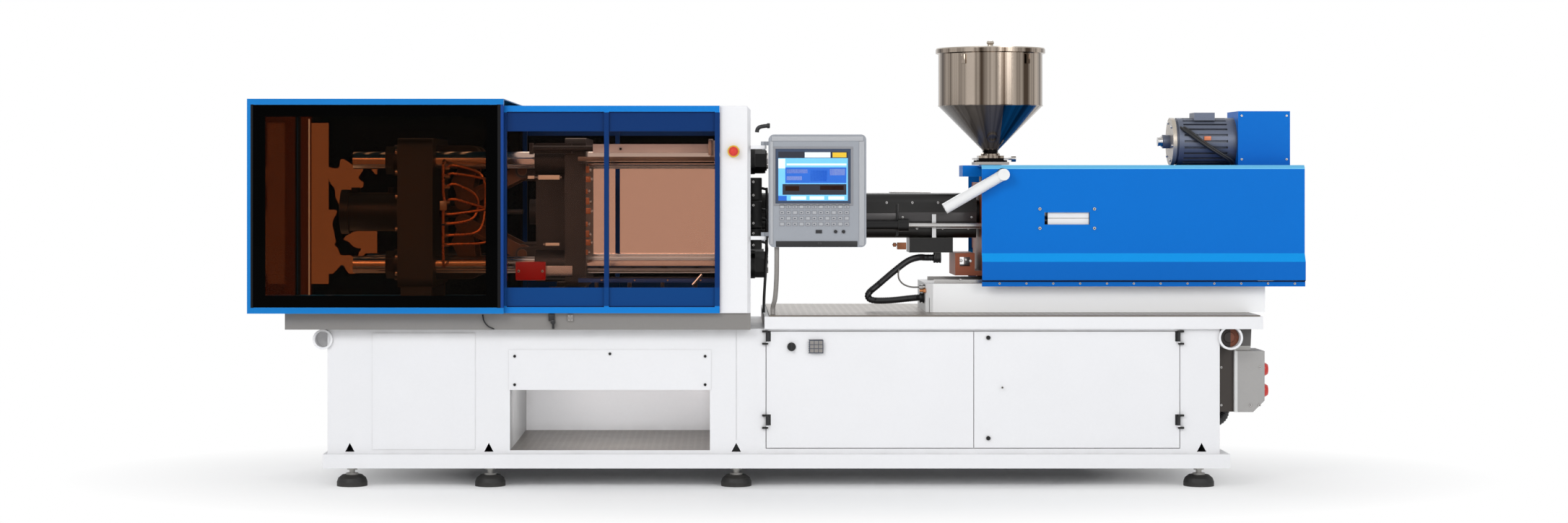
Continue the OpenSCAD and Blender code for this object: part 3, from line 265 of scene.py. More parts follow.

# %% [markdown]
# The layers go from the bottom up: the drifting colour, then dirt and painted shade, then wear and
# painted highlight. Gloss varies with the same cloud as the colour, because a dull patch is also a
# little paler.

# %% Finish layers
def finish(name, colour, rough=0.4, metal=0.0, drift=0.12, cloud_scale=3.0, fine=80.0,
           grain_scale=500.0, bump=0.15, dirt_and_shade=None, dirt_and_shade_amount=0.4, dirt_and_shade_reach=0.06,
           wear_and_highlight=None, wear_and_highlight_amount=0.5, coat=0.0, shine=0.5):
    material = new_material(name, Metallic=metal, Coat_Weight=coat, Specular_IOR_Level=shine)
    tree = material.node_tree
    varying = use_group(tree, cloud, Scale=cloud_scale, Fine=fine)
    tone = mix_colour(tree, varying, shaded(colour, 1 - drift), shaded(colour, 1 + drift * 0.6))
    # Corners take grime, and painted shade where ambient occlusion finds them
    if dirt_and_shade:
        corners = use_group(tree, grime_and_shade, Distance=dirt_and_shade_reach, Amount=dirt_and_shade_amount)
        tone = mix_colour(tree, corners, tone, dirt_and_shade)
    # Edges take wear, and on the blue paints a painted highlight
    if wear_and_highlight:
        tone = mix_colour(tree, use_group(tree, edge_wear_and_highlight, Amount=wear_and_highlight_amount), tone, wear_and_highlight)
    sockets = shader_inputs(material)
    feed(sockets["Base Color"], tone)
    feed(sockets["Roughness"], math_node("MULTIPLY_ADD", varying, 0.16, rough - 0.08))
    feed(sockets["Normal"], use_group(tree, grain, Scale=grain_scale, Strength=bump))
    return material

def dress(material, *names):
    for name in names:
        nodes[name].data.materials.clear()
        nodes[name].data.materials.append(material)

# %% [markdown]
# Some solids have two colours, such as a painted band or a printed border. A mask over the base
# colour shows them without a cut in the solid. Bounds are in the object's own metres, and FAR
# stands for no bound.

# %% Region helpers
FAR = 10.0

def axis_value(material, axis):
    """X, Y or Z at each point, or Side, the distance from the machine's middle plane."""
    split = material.node_tree.nodes.new("ShaderNodeSeparateXYZ")
    feed(split.inputs[0], own_place(material.node_tree))
    if axis == "Side":
        return math_node("ABSOLUTE", split.outputs["Y"])
    return split.outputs[axis]

def region(material, **spans):
    """A mask that is 1 between the two bounds given for each axis."""
    return times(*[use_group(material.node_tree, slab, Value=axis_value(material, axis), Low=low, High=high)
                   for axis, (low, high) in spans.items()])

def paint_region(material, mask, colour):
    """Lays a colour over the base colour where the mask is 1."""
    target = shader_inputs(material)["Base Color"]
    feed(target, mix_colour(material.node_tree, mask, target.links[0].from_socket, colour))

def paint_box(material, colour, **spans):
    paint_region(material, region(material, **spans), colour)

# %% [markdown]
# White powder coat covers the bed, its doors and the injection base. It is a cool white that
# turns grey where sheets meet, with grime and painted shade. The rails under the guards are grey,
# painted shade from the guards' overhang, and the inlet's box is grey.

# %% White and grey paint, with painted shade
# Laid in corners by the ambient occlusion mask: grime and painted shade together
GRIME_AND_SHADE = rgb(120, 114, 106)
OLD_EDGE = rgb(110, 110, 112)
CHUTE_LEFT = -1.153
white_paint = finish("white_paint", rgb(236, 236, 238), rough=0.42, drift=0.05, dirt_and_shade=GRIME_AND_SHADE,
                     dirt_and_shade_amount=0.35, dirt_and_shade_reach=0.05, wear_and_highlight=rgb(196, 196, 196), wear_and_highlight_amount=0.4)
# The part chute's left side lies in shade
paint_box(white_paint, rgb(168, 168, 168), X=(CHUTE_LEFT - 0.0015, CHUTE_LEFT + 0.0015),
          Y=(-0.49, FAR), Z=(-FAR, 0.6))
dress(white_paint, "bed_frame", "bed_panels", "pillars", "safety_beam")
# The injection base lies in the shade of the cover above it, so its copy of the white is lifted nearly to
# pure white: painted light
base_lit_white = white_paint.copy()
base_lit_white.name = "base_lit_white"
paint_region(base_lit_white, 0.9, rgb(255, 255, 255))
dress(base_lit_white, "injection_base")
# This grey is the cabinet gear's paint, and on the rails under the guards it is painted shade from their
# overhang
grey_paint = finish("grey_paint", rgb(132, 129, 126), rough=0.45, drift=0.1, dirt_and_shade=GRIME_AND_SHADE,
                    dirt_and_shade_amount=0.5, wear_and_highlight=OLD_EDGE)
dress(grey_paint, "guard_rails", "cabinet_gear")
print("white and grey paint")

# %% [markdown]
# The cabinet doors turn on black hinge knuckles. They are part of each door's solid, so small
# boxes of black lie over the white.

# %% Door paint
door_white = white_paint.copy()
door_white.name = "door_white"
for x in ((-0.09, -0.0535), (1.6505, 1.69)):
    for z in ((0.262, 0.308), (0.615, 0.6575)):
        paint_box(door_white, rgb(20, 20, 22), X=x, Z=z)
dress(door_white, "cabinet_door_left", "cabinet_door_right")
print("door paint")

# %% [markdown]
# The power inlet is one solid: a riser beside the bed and a grey box with the sockets. Above the box
# it is darker, with a pale lip, and the box's left edge is pale as well. Left of the box, in the recess
# beside the bed, it is near black: partly dark pipes there, partly painted shade of the recess.

# %% Inlet paint
SOCKET_BOX_TOP = 0.5725
RISER_RIGHT = 1.9149
inlet_grey = finish("inlet_grey", rgb(164, 162, 160), rough=0.45, drift=0.1, dirt_and_shade=GRIME_AND_SHADE,
                    dirt_and_shade_amount=0.5, wear_and_highlight=OLD_EDGE)
paint_box(inlet_grey, rgb(97, 94, 92), Z=(SOCKET_BOX_TOP, 0.72))
paint_box(inlet_grey, rgb(186, 184, 180), Z=(SOCKET_BOX_TOP, 0.590))
# Near black in the recess beside the bed: dark pipes and painted shade
paint_box(inlet_grey, rgb(52, 44, 38), X=(1.80, RISER_RIGHT), Z=(0.30, 0.72))
paint_box(inlet_grey, rgb(214, 214, 212), X=(RISER_RIGHT, 1.928), Z=(0.30, SOCKET_BOX_TOP))
dress(inlet_grey, "power_inlet")
print("inlet paint")

# %% [markdown]
# The blue of the guards is a little brighter than the blue of the injection cover. The fixed
# guard's uprights are blue at their outer edge alone, and black beside the window's border.

# %% Guard paint
NEAR_BLACK = rgb(10, 10, 12)
# Its lighter blue on the edges is a painted highlight, and its dark blue in the corners is painted shade
guard_blue = finish("guard_blue", rgb(14, 120, 196), rough=0.38, drift=0.08, dirt_and_shade=rgb(8, 40, 90),
                    dirt_and_shade_amount=0.4, wear_and_highlight=rgb(110, 180, 230), shine=0.15)
lo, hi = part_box("guard_frame")
for x, colour in (((lo.x + 0.015, lo.x + 0.028), NEAR_BLACK), ((hi.x - 0.028, hi.x - 0.012), NEAR_BLACK),
                  ((hi.x - 0.012, hi.x + 0.01), rgb(10, 60, 132))):
    paint_box(guard_blue, colour, X=x, Z=(lo.z + 0.024, hi.z - 0.024))
dress(guard_blue, "guard_frame")
print("guard paint")

# %% [markdown]
# The sliding doors have dark blue bands, which lie back from the frame, so a slab of depth marks
# them. The uprights between the bright top and bottom rails are dark as well.

# %% Sliding door paint
RAIL_TOP = 0.768
# Its lighter blue on the edges is a painted highlight, and its dark blue in the corners is painted shade
door_blue = finish("door_blue", rgb(16, 124, 208), rough=0.38, drift=0.08, dirt_and_shade=rgb(6, 34, 80),
                   dirt_and_shade_amount=0.3, wear_and_highlight=rgb(100, 170, 225), shine=0.12)
paint_box(door_blue, rgb(2, 44, 94), Side=(0.567, 0.5745))
paint_box(door_blue, rgb(4, 48, 104), Z=(RAIL_TOP, 1.578))
paint_box(door_blue, rgb(2, 62, 124), Z=(RAIL_TOP, 0.846))
dress(door_blue, "door_frame", "rear_door_frame")
print("sliding door paint")

# %% [markdown]
# On the injection cover the rolled top edge and the chamfer catch more light than their small
# faces show here, so they are painted paler. A dark joint runs above the bottom strip.

# %% Cover paint
SKIRT_TOP = 0.945
# Its lighter blue on the edges is a painted highlight, and its dark blue in the corners is painted shade
cover_blue = finish("cover_blue", rgb(0, 112, 206), rough=0.4, drift=0.05, dirt_and_shade=rgb(0, 50, 120),
                    dirt_and_shade_amount=0.35, wear_and_highlight=rgb(90, 175, 235), shine=0.1)
paint_box(cover_blue, rgb(16, 150, 230), Z=(SKIRT_TOP, 0.981))
paint_box(cover_blue, rgb(2, 104, 196), Z=(0.835, SKIRT_TOP))
paint_box(cover_blue, rgb(8, 30, 66), Z=(0.8585, 0.8665))
paint_box(cover_blue, rgb(108, 190, 234), Side=(0.278, FAR), Z=(1.342, 1.3592))
dress(cover_blue, "injection_cover", "belt_tower")
print("cover paint")

# %% [markdown]
# The big windows are amber acrylic with a black printed border, and the door panes are a lighter
# brown. An alpha mix would be cheaper, but real transmission shows the parts behind with their
# reflections. Light goes through both faces of a pane, so each face takes the root of the tint.
# A black base colour makes a region opaque while its gloss stays.

# %% Pane helper
BLACK = (0.0, 0.0, 0.0, 1)

def pane_material(name, tint):
    material = new_material(name, Roughness=0.02, IOR=1.1, Transmission_Weight=1.0)
    tree = material.node_tree
    varying = use_group(tree, cloud, Scale=1.5, Fine=20.0)
    tone = mix_colour(tree, varying, shaded(tint, 0.94), shaded(tint, 1.04))
    feed(shader_inputs(material)["Base Color"], tone)
    return material

# %% [markdown]
# The window's border is printed on its inside. The rear window is black behind the toggle, apart
# from ragged clear patches near its left end, where the photograph shows a bright strip between
# hoses. Left of that strip the tint is deeper.

# %% Amber window
PANE_Y = 0.605
BORDER = 0.05
DEEP_AMBER = (0.07, 0.016, 0.004, 1)
amber = pane_material("amber_pane", (0.36, 0.172, 0.082, 1))
lo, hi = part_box("guard_panes")
paint_region(amber, opposite(region(amber, Z=(lo.z + BORDER, hi.z - BORDER))), BLACK)
paint_box(amber, BLACK, X=(hi.x - BORDER, FAR))
paint_box(amber, BLACK, X=(-FAR, lo.x + 0.017 + BORDER), Y=(-FAR, -PANE_Y))
ragged = math_node("GREATER_THAN", noise(amber.node_tree, 9.0, 1.0), 0.53)
gap = times(region(amber, X=(-2.09, -1.86), Z=(0.86, 1.42)), ragged)
paint_region(amber, times(region(amber, X=(-2.085, FAR), Y=(PANE_Y, FAR)), opposite(gap)), BLACK)
paint_box(amber, DEEP_AMBER, X=(-FAR, -2.165), Y=(PANE_Y, FAR))
paint_box(amber, DEEP_AMBER, X=(-FAR, -2.2), Y=(-PANE_Y, FAR))
dress(amber, "guard_panes")
print("amber window", amber.name)

# %% [markdown]
# The rear door's panes are black round the mould space. Panes cast no shadow here: as solid shapes
# they would darken the clamp far too much.

# %% Door panes
clear = pane_material("door_pane", (0.645, 0.455, 0.37, 1))
mould_view = region(clear, X=(-0.90, 0.0), Z=(0.955, 1.362))
paint_region(clear, times(region(clear, Y=(0.3, FAR)), opposite(mould_view)), BLACK)
dress(clear, "door_panes", "rear_door_panes")
for name in ("guard_panes", "door_panes", "rear_door_panes"):
    nodes[name].visible_shadow = False
print("door panes", clear.name)

# %% [markdown]
# Machine parts are dark painted castings, brown coated links, black nuts and bright ground steel.
# Castings get a coarse grain, and ground steel hardly any.

# %% Castings and steel
casting = finish("dark_casting", rgb(30, 27, 25), rough=0.5, drift=0.25, grain_scale=220, bump=0.35,
                 dirt_and_shade=rgb(20, 17, 14), dirt_and_shade_amount=0.7, wear_and_highlight=rgb(150, 146, 140))
links = finish("link_casting", rgb(88, 56, 34), rough=0.45, metal=0.3, drift=0.3, grain_scale=260,
               bump=0.3, dirt_and_shade=rgb(50, 30, 16), dirt_and_shade_amount=0.7, wear_and_highlight=rgb(225, 190, 150))
black_steel = finish("black_steel", rgb(26, 25, 25), rough=0.32, metal=0.4, drift=0.3, grain_scale=300,
                     bump=0.2, dirt_and_shade=rgb(10, 9, 8), wear_and_highlight=rgb(120, 118, 115), wear_and_highlight_amount=0.7)
bright = finish("bright_steel", rgb(200, 198, 196), rough=0.24, metal=1.0, drift=0.1, grain_scale=700,
                bump=0.05, dirt_and_shade=rgb(80, 70, 60), wear_and_highlight=rgb(235, 235, 235))
chrome = finish("chrome", rgb(225, 222, 220), rough=0.14, metal=1.0, drift=0.06, grain_scale=900, bump=0.02)
frame_coat = finish("frame_coat", rgb(150, 76, 42), rough=0.5, drift=0.3, grain_scale=240, bump=0.3,
                    dirt_and_shade=rgb(40, 24, 16), dirt_and_shade_amount=0.7, wear_and_highlight=rgb(190, 150, 120))
paint_box(frame_coat, rgb(196, 184, 170), Z=(1.352, 1.38))
dress(casting, "fixed_platen", "moving_platen", "tail_platen", "thrust_block")
dress(links, "rear_links_upper", "rear_links_lower", "front_links_upper", "front_links_lower",
      "cross_links_upper", "cross_links_lower", "crosshead")
dress(black_steel, "tie_bar_nuts", "bed_fasteners", "carriage_cylinders", "clamp_cylinder",
      "die_nuts", "barrel", "lock_upper", "lock_lower")
dress(bright, "slide_ways", "injection_cylinders", "screw", "ejector_rods", "hopper_gate")
dress(chrome, "tie_bars")
dress(frame_coat, "injection_frame")
print("castings and steel")

# %% [markdown]
# The deck is chequer plate: raised lozenges that lie crosswise in turn. They could be thousands of
# small solids. A group works out one lozenge in each square cell instead, and turns every second
# one by ninety degrees.

# %% Chequer group
chequer, given, out = effect_group("chequer", "Mask", "NodeSocketFloat", Pitch=0.03)
split = chequer.nodes.new("ShaderNodeSeparateXYZ")
feed(split.inputs[0], own_place(chequer))
cell, place = [], []
for axis in ("X", "Y"):
    step = math_node("DIVIDE", split.outputs[axis], given["Pitch"])
    cell.append(math_node("FLOOR", step))
    place.append(math_node("SUBTRACT", math_node("FRACT", step), 0.5))
turn = math_node("FLOORED_MODULO", math_node("ADD", *cell), 2.0)
along = math_node("ADD", *place)
across = math_node("SUBTRACT", *place)

def swap(first, second):
    return math_node("ADD", times(first, opposite(turn)), times(second, turn))

def share(distance, reach):
    return math_node("POWER", math_node("DIVIDE", distance, reach), 2.0)

filled = math_node("ADD", share(swap(along, across), 0.62), share(swap(across, along), 0.2))
feed(out, math_node("MULTIPLY", opposite(filled), 2.5, clamp=True))

# %% [markdown]
# The same mask lightens the lozenges, where boots polish them, and lifts them as a bump. The
# chute's floor is darker than the deck.

# %% Chequer plate
tread = finish("chequer_plate", rgb(132, 124, 116), rough=0.34, metal=0.6, drift=0.2, cloud_scale=6,
               dirt_and_shade=rgb(70, 60, 50), dirt_and_shade_amount=0.7)
shape = use_group(tread.node_tree, chequer, Pitch=0.03)
paint_region(tread, times(shape, 0.6), rgb(206, 200, 194))
ridge = tread.node_tree.nodes.new("ShaderNodeBump")
ridge.inputs["Strength"].default_value = 1.0
ridge.inputs["Distance"].default_value = 0.0018
feed(ridge.inputs["Height"], shape)
feed(shader_inputs(tread)["Normal"], ridge.outputs["Normal"])
paint_region(tread, times(region(tread, Z=(-FAR, 0.3)), 0.45), rgb(84, 78, 72))
dress(tread, "tread_plates")
print("chequer plate")

# %% [markdown]
# The hopper is polished stainless sheet. Polished cylinders show long vertical streaks of reflection,
# which plain gloss doesn't give, so noise that depends only on the angle round the hopper's axis
# darkens and lightens the metal: painted reflections. The cone is darker than the drum, more so on
# its left, where it is also less metallic, and black rubber rings seal the neck.

# %% Polished hopper
HOPPER_X = 0.923
hopper_metal = finish("hopper_metal", rgb(190, 176, 162), rough=0.16, metal=1.0, drift=0.05,
                      grain_scale=900, bump=0.02)
east = math_node("SUBTRACT", axis_value(hopper_metal, "X"), HOPPER_X)
angle = math_node("ARCTAN2", axis_value(hopper_metal, "Y"), east)
ring = hopper_metal.node_tree.nodes.new("ShaderNodeCombineXYZ")
feed(ring.inputs["X"], angle)
# Painted reflections: streaks that depend only on the angle round the axis
reflection_streak = noise(hopper_metal.node_tree, 2.6, 3, ring.outputs[0])
reflection_streak.node.inputs["Roughness"].default_value = 0.7
dark = math_node("MULTIPLY", math_node("SUBTRACT", reflection_streak, 0.42), 6.0, clamp=True)
paint_region(hopper_metal, dark, rgb(74, 62, 52))
cone = region(hopper_metal, Z=(1.425, 1.6195))
paint_region(hopper_metal, times(cone, 0.3), rgb(92, 88, 84))
left = times(cone, math_node("LESS_THAN", east, 0.035), 0.75)
paint_region(hopper_metal, left, rgb(52, 48, 46))
feed(shader_inputs(hopper_metal)["Metallic"], opposite(left))
for z in ((1.3745, 1.391), (1.4145, 1.430)):
    paint_box(hopper_metal, rgb(22, 20, 20), Z=z)
dress(hopper_metal, "hopper")
lid_metal = finish("lid_metal", rgb(200, 190, 178), rough=0.22, metal=1.0, drift=0.06, grain_scale=900,
                   bump=0.02, dirt_and_shade=rgb(90, 80, 70))
dress(lid_metal, "hopper_lid")
print("hopper metal")

# %% [markdown]
# The control panel has a moulded grey case with a darker front plate, and its lowest layer is
# black. They are one solid, so slabs of depth part the colours.

# %% Panel plastic
PLATE_Y = -0.6175
panel_grey = finish("panel_grey", rgb(152, 156, 163), rough=0.45, drift=0.05, grain_scale=900, bump=0.1,
                    dirt_and_shade=rgb(110, 112, 120), dirt_and_shade_amount=0.5, dirt_and_shade_reach=0.012)
paint_box(panel_grey, rgb(136, 137, 142), Y=(PLATE_Y, -0.6152))
paint_box(panel_grey, rgb(30, 30, 34), Y=(-0.63, PLATE_Y))
screen_glass = finish("screen_glass", rgb(40, 60, 90), rough=0.12, drift=0.1, bump=0.0, coat=0.5)
dress(panel_grey, "hmi_case")
dress(screen_glass, "hmi_screen")
print("panel plastic")

# %% [markdown]
# Other plastics are the black buttons and hoses, the white drain tube, and the yellow collar and
# red mushroom of the emergency stop. The shroud and the motor are sheet and castings with a rough
# coat, but take the same layers.

# %% Plastics and coats
black_plastic = finish("black_plastic", rgb(24, 24, 26), rough=0.4, drift=0.2, grain_scale=600)
shroud_black = finish("shroud_black", rgb(20, 18, 17), rough=0.36, metal=0.2, drift=0.5, cloud_scale=9,
                      fine=40, grain_scale=60, bump=0.35, dirt_and_shade=rgb(70, 66, 60), wear_and_highlight=rgb(140, 136, 130),
                      wear_and_highlight_amount=0.8)
motor_grey = finish("motor_grey", rgb(100, 107, 124), rough=0.4, metal=0.35, drift=0.2, grain_scale=200,
                    bump=0.25, dirt_and_shade=rgb(30, 30, 34), dirt_and_shade_amount=0.8, dirt_and_shade_reach=0.03,
                    wear_and_highlight=rgb(170, 172, 176))
white_plastic = finish("white_plastic", rgb(236, 236, 236), rough=0.35, drift=0.04, grain_scale=300,
                       bump=0.05, dirt_and_shade=rgb(160, 158, 154))
yellow = finish("yellow_plastic", rgb(238, 196, 20), rough=0.3, drift=0.08, bump=0.05, coat=0.3)
red = finish("red_plastic", rgb(214, 38, 22), rough=0.3, drift=0.1, bump=0.05, coat=0.3)
dress(black_plastic, "start_button", "stop_button", "switch_knob", "conduits")
dress(shroud_black, "barrel_shroud")
dress(motor_grey, "drive_motor")
dress(white_plastic, "drain_tube")
dress(yellow, "estop_collar")
dress(red, "estop_button", "power_sockets")
print("plastics and coats")

# %% [markdown]
# A levelling foot is a rubber dome with a bright stud. The two are one solid here, so a slab of
# height turns the stud to metal.

# %% Foot rubber
rubber = finish("foot_rubber", rgb(22, 22, 22), rough=0.6, drift=0.3, grain_scale=350, bump=0.3,
                dirt_and_shade=rgb(90, 86, 80))
stud = region(rubber, Z=(0.0475, 0.09))
paint_region(rubber, stud, rgb(190, 188, 184))
feed(shader_inputs(rubber)["Metallic"], stud)
dress(rubber, "levelling_feet")
print("foot rubber")

# %% [markdown]
# ## Mesh helpers
# Round surfaces shade smoothly and flat ones stay crisp when only shallow angles are smoothed. A
# modifier could do that too, but marked edges go through the export as they are.

# %% Smooth shading
def smooth_by_angle(mesh, degrees):
    bm = bmesh.new()
    bm.from_mesh(mesh)
    for face in bm.faces:
        face.smooth = True
    for e in bm.edges:
        e.smooth = len(e.link_faces) == 2 and e.calc_face_angle(3.2) < math.radians(degrees)
    bm.to_mesh(mesh)
    bm.free()

# %% [markdown]
# Each small piece is one object that rides on the body that carries it.

# %% Piece helper
def new_piece(name, bm, body, slot, *materials, smooth=35):
    mesh = bpy.data.meshes.new(name)
    bm.to_mesh(mesh)
    bm.free()
    obj = bpy.data.objects.new(name, mesh)
    bpy.context.scene.collection.objects.link(obj)
    for material in materials:
        mesh.materials.append(material)
    if smooth:
        smooth_by_angle(mesh, smooth)
    if body:
        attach(obj, body)
    print(name, len(mesh.polygons), "faces")
    return obj

# %% [markdown]
# Small pieces are built from blocks and turned forms. Objects with modifiers would do for one, but
# forms made in code can be joined to one piece. A sharp edge looks false, so blocks are bevelled.

# %% Blocks
FRONT, BACK, LEFT, RIGHT, UP = (0, -1, 0), (0, 1, 0), (-1, 0, 0), (1, 0, 0), (0, 0, 1)

def add_block(bm, lo, hi, bevel=0.002, material=0):
    """A block between two corners, in metres, with its edges broken."""
    lo, hi = Vector(lo), Vector(hi)
    made = bmesh.ops.create_cube(bm, size=1)
    for v in made["verts"]:
        v.co = Vector([(v.co[i] + 0.5) * (hi[i] - lo[i]) + lo[i] for i in range(3)])
    edges = {e for v in made["verts"] for e in v.link_edges}
    faces = {f for v in made["verts"] for f in v.link_faces}
    if bevel:
        out = bmesh.ops.bevel(bm, geom=list(edges), offset=bevel, segments=2, affect="EDGES", profile=0.6)
        faces = set(out["faces"]) | {f for f in faces if f.is_valid}
        faces |= {f for v in out["verts"] for f in v.link_faces}
    for face in faces:
        face.material_index = material

# %% [markdown]
# Screws, nuts and caps are turned forms: rings of points round an axis, joined to a skin.

# %% Turned forms
def skin(bm, rings, material):
    """Joins rings of points to a closed form, with a flat face at each end."""
    for a, b in zip(rings, rings[1:]):
        for i in range(len(a)):
            j = (i + 1) % len(a)
            bm.faces.new((a[i], a[j], b[j], b[i])).material_index = material
    bm.faces.new(list(reversed(rings[0]))).material_index = material
    bm.faces.new(rings[-1]).material_index = material

def add_turned(bm, origin, axis, profile, sides=24, material=0):
    """A turned form: profile is a list of (distance along the axis, radius)."""
    turn = Vector(UP).rotation_difference(Vector(axis)).to_matrix()
    angles = [2 * math.pi * i / sides for i in range(sides)]
    rings = []
    for along, radius in profile:
        places = [Vector((radius * math.cos(a), radius * math.sin(a), along)) for a in angles]
        rings.append([bm.verts.new(Vector(origin) + turn @ place) for place in places])
    skin(bm, rings, material)

def add_screw(bm, place, axis, r=0.006, h=0.005, material=0):
    """A socket head screw: a low cylinder with a broken edge and a six sided socket."""
    add_turned(bm, place, axis, [(0, r), (h * 0.75, r), (h, r * 0.85)], 16, material)
    socket = Vector(place) + Vector(axis) * h * 0.6
    add_turned(bm, socket, axis, [(0, r * 0.5), (h * 0.42, r * 0.5)], 6, material + 1)

# %% [markdown]
# Hoses and cables follow a smooth curve through a few chosen points. Blender's own curves could
# carry them, but a mesh of rings can also have the ridges of a corrugated hose.

# %% Tubes
def smooth_path(points, step):
    """Points along a smooth curve through the given points, about one step apart."""
    points = [Vector(p) for p in points]
    ends = [2 * points[0] - points[1]] + points + [2 * points[-1] - points[-2]]
    path = []
    for i in range(1, len(ends) - 2):
        p0, p1, p2, p3 = ends[i - 1:i + 3]
        count = max(1, round((p2 - p1).length / step))
        for k in range(count):
            t = k / count
            path.append(0.5 * (2 * p1 + (p2 - p0) * t + (2 * p0 - 5 * p1 + 4 * p2 - p3) * t * t
                               + (3 * p1 - p0 - 3 * p2 + p3) * t ** 3))
    return path + [points[-1]]

def path_length(path):
    return sum((b - a).length for a, b in zip(path, path[1:]))

def add_tube(bm, path, radius, sides=12, ridge=0.0, material=0):
    """A tube round a path. With a ridge, every second ring stands out, as on a corrugated hose."""
    side = Vector(UP).cross(path[1] - path[0])
    side = side.normalized() if side.length > 1e-6 else Vector(RIGHT)
    rings = []
    for i, point in enumerate(path):
        ahead = (path[min(i + 1, len(path) - 1)] - path[max(i - 1, 0)]).normalized()
        side = (side - ahead * side.dot(ahead)).normalized()
        up = ahead.cross(side)
        r = radius * (1 if i % 2 or not ridge else 1 - ridge)
        angles = [2 * math.pi * k / sides for k in range(sides)]
        rings.append([bm.verts.new(point + r * (side * math.cos(a) + up * math.sin(a))) for a in angles])
    skin(bm, rings, material)

# %% [markdown]
# ## Hoses and cables
# A corrugated conduit leads the heater wires from the plug under the barrel's shroud down to the
# base. It could ride on the unit alone, but then its lower end would slide off the base, so it rides
# on no body.

# %% Heater conduit
HEATER_R = 0.015
HEATER = [(0.6677, -0.060, 0.955), (0.635, -0.060, 0.955), (0.600, -0.078, 0.956), (0.552, -0.097, 0.941),
          (0.490, -0.115, 0.896), (0.420, -0.130, 0.838), (0.382, -0.140, 0.806), (0.378, -0.145, 0.784),
          (0.402, -0.150, 0.772), (0.470, -0.150, 0.772), (0.550, -0.150, 0.780), (0.595, -0.150, 0.784),
          (0.6197, -0.150, 0.784)]
path = smooth_path(HEATER, 0.004)
bm = bmesh.new()
add_tube(bm, path, HEATER_R, 12, 0.14)
heater = new_piece("heater_conduit", bm, None, "black_plastic", black_plastic, smooth=60)
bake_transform(heater)
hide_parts("conduits")
print("heater conduit", round(path_length(path), 3), "m")

# %% [markdown]
# The panel's cable hangs from the case and ends in the deck. Like the conduit, it rides on no body.

# %% Panel cable
PANEL_CABLE_R = 0.010
PANEL_CABLE = [(-0.030, -0.585, 1.0147), (-0.030, -0.585, 0.970), (-0.031, -0.570, 0.880),
               (-0.036, -0.535, 0.800), (-0.044, -0.492, 0.760), (-0.044, -0.492, 0.7265)]
cable_grey = finish("cable_grey", rgb(140, 136, 132), rough=0.5, drift=0.15, grain_scale=300, bump=0.1)
path = smooth_path(PANEL_CABLE, 0.010)
bm = bmesh.new()
add_tube(bm, path, PANEL_CABLE_R)
panel_cable = new_piece("panel_cable", bm, None, "black_plastic", cable_grey, smooth=60)
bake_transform(panel_cable)
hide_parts("conduits")
print("panel cable", round(path_length(path), 3), "m")

# %% [markdown]
# The supply hose is a short thick corrugated bend between the bed's end and the inlet's riser. A
# quarter circle is its whole route.

# %% Supply hose
BEND_R = 0.042
bm = bmesh.new()
arc = [Vector((1.839 + BEND_R * math.sin(a), -0.350, 0.311 - BEND_R * math.cos(a)))
       for a in [math.pi / 2 * i / 16 for i in range(17)]]
add_tube(bm, arc, 0.028, 20, 0.1)
supply_hose = new_piece("supply_hose", bm, "bed", "black_plastic", black_plastic, smooth=60)
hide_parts("conduits")

# %% [markdown]
# A thin grey lead drops from the conduit to the unit's base. It is limp, so it hangs in one curve.

# %% Sensor lead
LEAD_R = 0.0035
LEAD = [(0.512, -0.128, 0.905), (0.508, -0.140, 0.885), (0.512, -0.150, 0.862), (0.530, -0.158, 0.842),
        (0.560, -0.165, 0.831), (0.590, -0.170, 0.830), (0.6199, -0.172, 0.832)]
path = smooth_path(LEAD, 0.006)
bm = bmesh.new()
add_tube(bm, path, LEAD_R, 10)
lead = new_piece("sensor_lead", bm, None, "black_plastic", cable_grey, smooth=60)
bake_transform(lead)
print("sensor lead", round(path_length(path), 3), "m")

# %% [markdown]
# ## Control panel
# The screen shows a made-up picture of plain coloured fields: a header, a row of tabs, a drawing
# area and a dark graph. A picture file could be laid on it, but fields made as thin plates need
# none, and a little glow makes them look lit. Each field is left, bottom, right and top as shares
# of the picture, and its colour.

# %% Screen picture
LEVELS = {"sky": (108, 186, 240), "blue": (20, 92, 190), "dark": (26, 30, 44), "pale": (214, 230, 242),
          "amber": (214, 176, 40), "brown": (92, 62, 52)}
SKY, BLUE, DARK, PALE, AMBER, BROWN = range(len(LEVELS))
FIELDS = [(0, 0, 1, 1, SKY), (0, 0.87, 1, 1, DARK), (0.38, 0.88, 0.75, 0.99, PALE),
          (0.78, 0.885, 0.98, 0.985, AMBER), (0.0, 0.66, 0.1, 0.86, PALE), (0.12, 0.72, 0.98, 0.76, PALE),
          (0.1, 0.36, 0.98, 0.68, BLUE), (0.12, 0.56, 0.42, 0.64, PALE), (0.12, 0.42, 0.34, 0.5, PALE),
          (0.74, 0.52, 0.96, 0.65, PALE), (0.46, 0.4, 0.7, 0.62, SKY), (0.06, 0.12, 0.98, 0.34, DARK),
          (0.1, 0.2, 0.3, 0.3, BROWN), (0.6, 0.22, 0.94, 0.31, BROWN), (0.0, 0.0, 0.12, 0.1, BLUE),
          (0.18, 0.02, 0.4, 0.09, PALE), (0.45, 0.02, 0.66, 0.09, PALE), (0.72, 0.02, 0.95, 0.09, PALE)]
SCREEN_MARGIN = 0.012

def glowing(name, colour):
    material = finish(name, colour, rough=0.25, drift=0.1, cloud_scale=20, fine=200, bump=0.0)
    shader_inputs(material)["Emission Color"].default_value = colour
    shader_inputs(material)["Emission Strength"].default_value = 0.35
    return material

